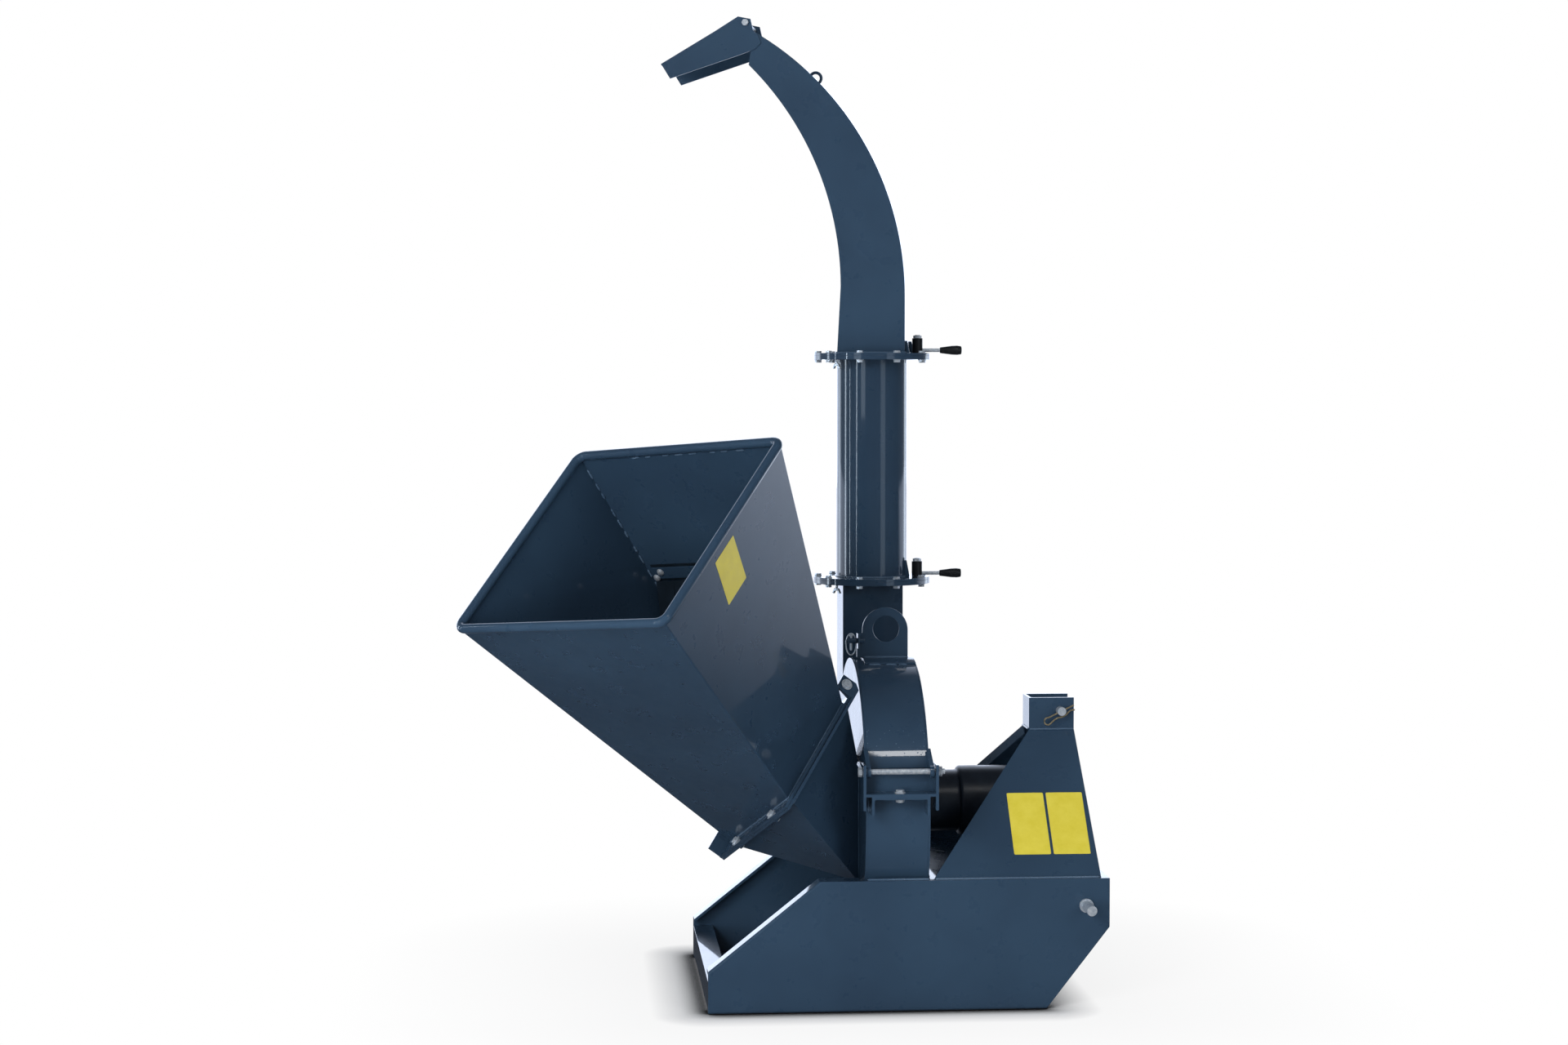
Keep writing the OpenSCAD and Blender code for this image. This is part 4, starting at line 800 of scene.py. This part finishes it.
# %% Clamp rods
CLAMP_OUT, CLAMP_ANGLE = 105, radians(-8.7)    # where the clamp's stud stands round the pipe's axis
ROD_R, ROD_LONG = 4.15, 41.5
clamp_x = PIPE_X + CLAMP_OUT * cos(CLAMP_ANGLE)
clamp_y = PIPE_Y + CLAMP_OUT * sin(CLAMP_ANGLE)
for name, foot in (("lower", LOWER_FOOT), ("upper", UPPER_FOOT)):
    rod = turned([(0, 0), (ROD_R, 0), (ROD_R, ROD_LONG), (0, ROD_LONG)],
                 upright(clamp_x + 11, clamp_y, foot + 7, (1, 0, 0)))
    save_piece(name + "_rod", rod, zinc, body_of(name + "_clamp"))

# %% [markdown]
# Plain washers lie under the heads that clamp slotted or folding parts: the fold hinge of the
# hopper, the hinge of the housing, the clamp bolts of the flange, and above and below each swivel.

# %% Washers
def washer(place, bolt_r, out_r, thick=1.6):
    """A plain washer with its outer edge broken on one face."""
    profile = [(bolt_r, 0), (out_r, 0), (out_r, thick - 0.4), (out_r - 0.4, thick), (bolt_r, thick)]
    return turned(profile, place)


bm = blank()
for end in (-22, FLANGE_RUN + 22 - 12.4):
    place = FLANGE @ shift(284 + 31, end, 17) @ spun(90, "X")
    join(bm, washer(place, 5, 12.5))
join(bm, washer(upright(0, -350, 471), 5, 11.5))
save_piece("frame_washers", bm, zinc, "frame")
bm = blank()
for share in (0.24, 0.86):
    place = FLANGE @ shift(-14 + 59.1 * share, FLANGE_RUN * share, 0)
    join(bm, washer(place, 4, 12))
save_piece("flange_washers", bm, zinc, "hopper")
BOLTS, BOLT_RING, FIRST_BOLT = 9, 123.5, -28.7    # of each swivel, the angle in degrees
STACK = 15                                        # height of its flanges together
for name, body, foot in (("lower", "discharge", LOWER_FOOT), ("upper", "chute", UPPER_FOOT)):
    bm = blank()
    for k in range(BOLTS):
        angle = radians(FIRST_BOLT + 40 * k)
        x, y = PIPE_X + BOLT_RING * cos(angle), PIPE_Y + BOLT_RING * sin(angle)
        join(bm, washer(upright(x, y, foot), 4, 8.6, 1.2))
        join(bm, washer(upright(x, y, foot - STACK, (0, 0, -1)), 4, 8.6, 1.2))
    save_piece(name + "_washers", bm, zinc, body)

# %% [markdown]
# The spring clip is one length of wire: a straight leg through the pin, a round eye, and a second
# leg that springs over the pin and flares at its tip.

# %% Spring clip
CLIP = shift(395, -60, 608) @ spun(-26, "Y")
straight = [(31 - 4 * k, 0) for k in range(17)]
eye = [(-37 + 8 * cos(radians(a)), -6.6 + 8 * sin(radians(a))) for a in range(65, 306, 15)]
spring = [(-28, -12.0), (-21, -10.0), (-14, -9.6), (-7, -11.6), (0, -12.6), (7, -11.6), (13, -8.8),
          (19, -7.4), (25, -8.8), (28, -10.6)]
path = [CLIP @ mm(x, 0, z) for x, z in straight + eye + spring]
bm = tube(path, [1.8 * MM] * len(path), 16)
save_piece("spring_clip", bm, clip_wire, "top_link_clip", ["top_link_clip"])


# %% [markdown]
# The lock pin is a plain round bar, painted with the machine. A linch pin drops through it, and the
# linch pin's wire ring snaps down over the bar. The ring is narrower than it is long. Both are zinc
# plated.

# %% Lock pin with its linch pin
LOCK = (-72, -30, 766)
bar = turned([(0, 0), (5.2, 0), (6, 0.8), (6, 39.2), (5.2, 40), (0, 40)],
             upright(LOCK[0] - 10, LOCK[1], LOCK[2], (1, 0, 0)))
shank = [(0, -22), (1.4, -22), (2.5, -19.5), (2.5, 9), (3.6, 9.4), (3.9, 11), (3.9, 13), (3, 14),
         (0, 14)]
save_piece("lock_bar", bar, paint, "lock_pin", ["lock_pin"])
save_piece("linch_pin", turned(shank, upright(*LOCK)), zinc, "lock_pin")
loop = [mm(LOCK[0] + 11.4 * cos(radians(a)), LOCK[1], LOCK[2] - 8 + 24 * sin(radians(a)))
        for a in range(0, 360, 9)]
save_piece("lock_ring", tube(loop, [1.4 * MM] * len(loop), 12, True), zinc, "lock_pin")


# %% [markdown]
# ## Bare yellow plates
#
# Two upright plates of yellow film sit side by side on the near mast plate, and a third lies on the
# near wall of the hopper. They are left bare, with only a rounded outline and the film's own
# thickness.

# %% Yellow film
def rounded(width, height, radius=3, steps=5):
    """The outline of a rectangle with round corners, in millimetres."""
    points = []
    for cx, cy, start in ((width - radius, radius, -90), (width - radius, height - radius, 0),
                          (radius, height - radius, 90), (radius, radius, 180)):
        for k in range(steps + 1):
            angle = radians(start + 90 * k / steps)
            points.append((cx + radius * cos(angle), cy + radius * sin(angle)))
    return points


FILM = 0.35                             # millimetres
JUST_OFF = 0.02                         # play between a film and the steel it lies on
lean_back = math.atan2(286, 277)
MAST = shift(0, -320, 280) @ Matrix.Rotation(lean_back, 4, "X")
bm = blank()
for x in (256, 342):
    join(bm, plate(rounded(80, 163), FILM, MAST @ shift(x, 61.5, JUST_OFF), 0.1))
save_piece("mast_plates", bm, vinyl, "frame")
wall = math.atan2(NEAR_SIDE, NEAR_DEEP)
NEAR_WALL = HOPPER @ frame_at(mm(0, 0, 0), Vector((0, 1, 0)), Vector((sin(wall), 0, cos(wall))),
                              Vector((-cos(wall), 0, sin(wall))))
NEAR_WALL = NEAR_WALL @ shift(207, 36, JUST_OFF)
bm = plate(rounded(81, 116), FILM, NEAR_WALL, 0.1)
save_piece("hopper_plate", bm, vinyl, "hopper")


# %% [markdown]
# ## Floor, light and backdrop
#
# The machine stands in a white studio. A large soft lamp beyond the camera's left shoulder lights
# the faces that look forward. One on the right and a low one on the left fill them. These three
# light the surfaces but aren't mirrored in them. A flat lamp high in front does both, and puts a
# thin line on every bend along the top.
#
# Upright strips stand in a ring round the pipe and draw its streaks. Only reflections see them:
# three narrow ones on the left, a broad one on the right, and one far round on each side for the
# pipe's outline. A short, square one hangs higher, for the sheet round the upper swivel. They are
# slightly blue, as the streaks are.

# %% Lamps
STRIP_TINT = (0.74, 0.87, 1.0)
STRIP_RING = 4.5        # metres, radius of the ring of strips
STRIP_LONG = 3.2        # length of each
STRIP_HIGH = 1.2        # height of their middle
PIPE_BACK = 0.25        # how far behind the origin the pipe stands
STRIP_LAMPS = {         # degrees round the ring, width, power
    "strip_one": (101, 0.42, 30), "strip_two": (82, 0.09, 13), "strip_three": (56, 0.13, 20),
    "strip_four": (-31, 1.2, 11), "strip_left_edge": (135, 1.0, 18),
    "strip_right_edge": (-132, 1.0, 18),
}


def soft_lamp(name, place, target, size, power, mirrored=True, lighting=True):
    """A rectangular lamp, seen in reflections or lighting surfaces or both."""
    data = bpy.data.lights.new(name, "AREA")
    data.shape = "RECTANGLE"
    data.size, data.size_y = size
    data.energy = power
    lamp = bpy.data.objects.new(name, data)
    lamp.location = place
    lamp.rotation_euler = (Vector(target) - Vector(place)).to_track_quat("-Z", "Y").to_euler()
    lamp.visible_glossy = mirrored
    lamp.visible_diffuse = lighting
    if not lighting:
        data.color = STRIP_TINT
    scene.collection.objects.link(lamp)


soft_lamp("key_softbox", (-3.3, -5.0, 3.0), (0, 0, 0.8), (2.0, 2.0), 172, mirrored=False)
soft_lamp("right_fill", (2.6, -4.6, 1.9), (0, 0, 0.9), (1.6, 1.8), 46, mirrored=False)
soft_lamp("low_fill", (-2.2, -3.6, 0.35), (-0.4, -0.2, 0.8), (1.5, 1.0), 56, mirrored=False)
soft_lamp("high_front", (0.95, -3.9, 4.3), (0.2, 0, 0.5), (0.9, 0.4), 12)
for name, (degrees, wide, power) in STRIP_LAMPS.items():
    x, y = -STRIP_RING * sin(radians(degrees)), PIPE_BACK - STRIP_RING * cos(radians(degrees))
    soft_lamp(name, (x, y, STRIP_HIGH), (0, PIPE_BACK, STRIP_HIGH), (wide, STRIP_LONG), power,
              lighting=False)
soft_lamp("short_strip", (-2.52, -3.48, 1.74), (0, PIPE_BACK, 1.74), (1.1, 1.08), 6,
          lighting=False)
print("lamps:", len(bpy.data.lights))

# %% [markdown]
# The room is pure white to the camera, and a dim pale grey to the surfaces that it lights. In
# reflections it is bright only straight behind the machine, where the paper backdrop hangs, so
# faces seen edge on turn pale while the others keep their own colour.

# %% World
world = bpy.data.worlds.new("studio")
world.use_nodes = True
world.node_tree.nodes.clear()
tree = world.node_tree
path = add_node(tree, "ShaderNodeLightPath")
mirrored = add_node(tree, "ShaderNodeMath", {"operation": "MAXIMUM"},
                    {0: path.outputs["Is Glossy Ray"], 1: path.outputs["Is Transmission Ray"]})
sight = add_node(tree, "ShaderNodeTexCoord").outputs["Generated"]
depth = add_node(tree, "ShaderNodeSeparateXYZ", links={"Vector": sight}).outputs["Y"]
DARK_ROOM, BRIGHT_PAPER = 0.06, 2.4
towards_back = span(tree, depth, DARK_ROOM, BRIGHT_PAPER, 0.60, 0.97)
plain = add_node(tree, "ShaderNodeBackground", {"Color": linear("#e3e8ef"), "Strength": 0.34})
room = add_node(tree, "ShaderNodeBackground", {"Color": linear("#dde9ff")},
                {"Strength": towards_back})
white = add_node(tree, "ShaderNodeBackground", {"Color": (1, 1, 1, 1), "Strength": 1.0})
unseen = add_node(tree, "ShaderNodeMixShader",
                  links={"Fac": mirrored.outputs[0], 1: plain.outputs[0], 2: room.outputs[0]})
mixed = add_node(tree, "ShaderNodeMixShader",
                 links={"Fac": path.outputs["Is Camera Ray"], 1: unseen.outputs[0],
                        2: white.outputs[0]})
add_node(tree, "ShaderNodeOutputWorld", links={"Surface": mixed.outputs[0]})
scene.world = world
print("world", world.name)

# %% [markdown]
# The floor is white paper that runs out of sight. Round the foot of the machine it keeps a narrow
# shadow, partly cast by the lamps and partly painted: an occlusion mask darkens the paper's own
# colour, darkest in the corner under the panels. Further out the camera sees it melt into the
# white room: the paper glows more and more with its distance from the base, quickly at first and
# then slowly. In reflections it is brightest behind the machine and fades to grey towards the
# photographer.

# %% Floor
BASE_MIDDLE_X = -0.044              # metres: middle of the base along x
BASE_HALF = (0.362, 0.33, 1)        # half its size, with the height left out of the distance
bm = blank()
bmesh.ops.create_grid(bm, x_segments=1, y_segments=1, size=30)
bmesh.ops.translate(bm, verts=bm.verts, vec=(0, 0, -0.0005))
floor_mesh = bpy.data.meshes.new("studio_floor")
bm.to_mesh(floor_mesh)
bm.free()
floor = bpy.data.objects.new("studio_floor", floor_mesh)
scene.collection.objects.link(floor)
material, tree, coords = start_material("white_paper_floor")
path = add_node(tree, "ShaderNodeLightPath")
centred = add_node(tree, "ShaderNodeVectorMath",
                   {"operation": "ADD", 1: (-BASE_MIDDLE_X, 0, 0)}, {0: coords})
folded = add_node(tree, "ShaderNodeVectorMath", {"operation": "ABSOLUTE"}, {0: centred.outputs[0]})
outside = add_node(tree, "ShaderNodeVectorMath", {"operation": "SUBTRACT", 1: BASE_HALF},
                   {0: folded.outputs[0]})
clipped = add_node(tree, "ShaderNodeVectorMath", {"operation": "MAXIMUM", 1: (0, 0, 0)},
                   {0: outside.outputs[0]})
away = add_node(tree, "ShaderNodeVectorMath", {"operation": "LENGTH"}, {0: clipped.outputs[0]})
away = away.outputs["Value"]
near_glow = span(tree, away, 0.0, 0.86, 0.015, 0.12)
far_glow = span(tree, away, 0.0, 0.14, 0.11, 0.8)
glow_share = add_node(tree, "ShaderNodeMath", {"operation": "ADD"}, {0: near_glow, 1: far_glow})
depth = add_node(tree, "ShaderNodeSeparateXYZ", links={"Vector": coords}).outputs["Y"]
mirror_level = span(tree, depth, 0.05, 1.4, 0.8, 4.2)
# Painted shadow: occlusion near the foot darkens the paper's colour towards near black.
painted_corner_shade = add_node(tree, "ShaderNodeAmbientOcclusion", {"Distance": 0.06, "samples": 8})
painted_corner_shade = painted_corner_shade.outputs["AO"]
paper_colour_with_painted_shade = blend_colours(tree, span(tree, painted_corner_shade, 0, 1, 0.56, 1.0), "#141517", "#f6f6f7")
diffuse = add_node(tree, "ShaderNodeBsdfDiffuse", links={"Color": paper_colour_with_painted_shade})
glow = add_node(tree, "ShaderNodeEmission", {"Color": (1, 1, 1, 1), "Strength": 1.0})
mirror_glow = add_node(tree, "ShaderNodeEmission", {"Color": linear("#dee9ff")},
                       {"Strength": mirror_level})
share = add_node(tree, "ShaderNodeMath", {"operation": "MULTIPLY"},
                 {0: path.outputs["Is Camera Ray"], 1: glow_share.outputs[0]})
paper = add_node(tree, "ShaderNodeMixShader",
                 links={"Fac": share.outputs[0], 1: diffuse.outputs[0], 2: glow.outputs[0]})
shown = add_node(tree, "ShaderNodeMixShader",
                 links={"Fac": path.outputs["Is Glossy Ray"], 1: paper.outputs[0],
                        2: mirror_glow.outputs[0]})
add_node(tree, "ShaderNodeOutputMaterial", links={"Surface": shown.outputs[0]})
floor_mesh.materials.append(material)
print("floor", floor.name)
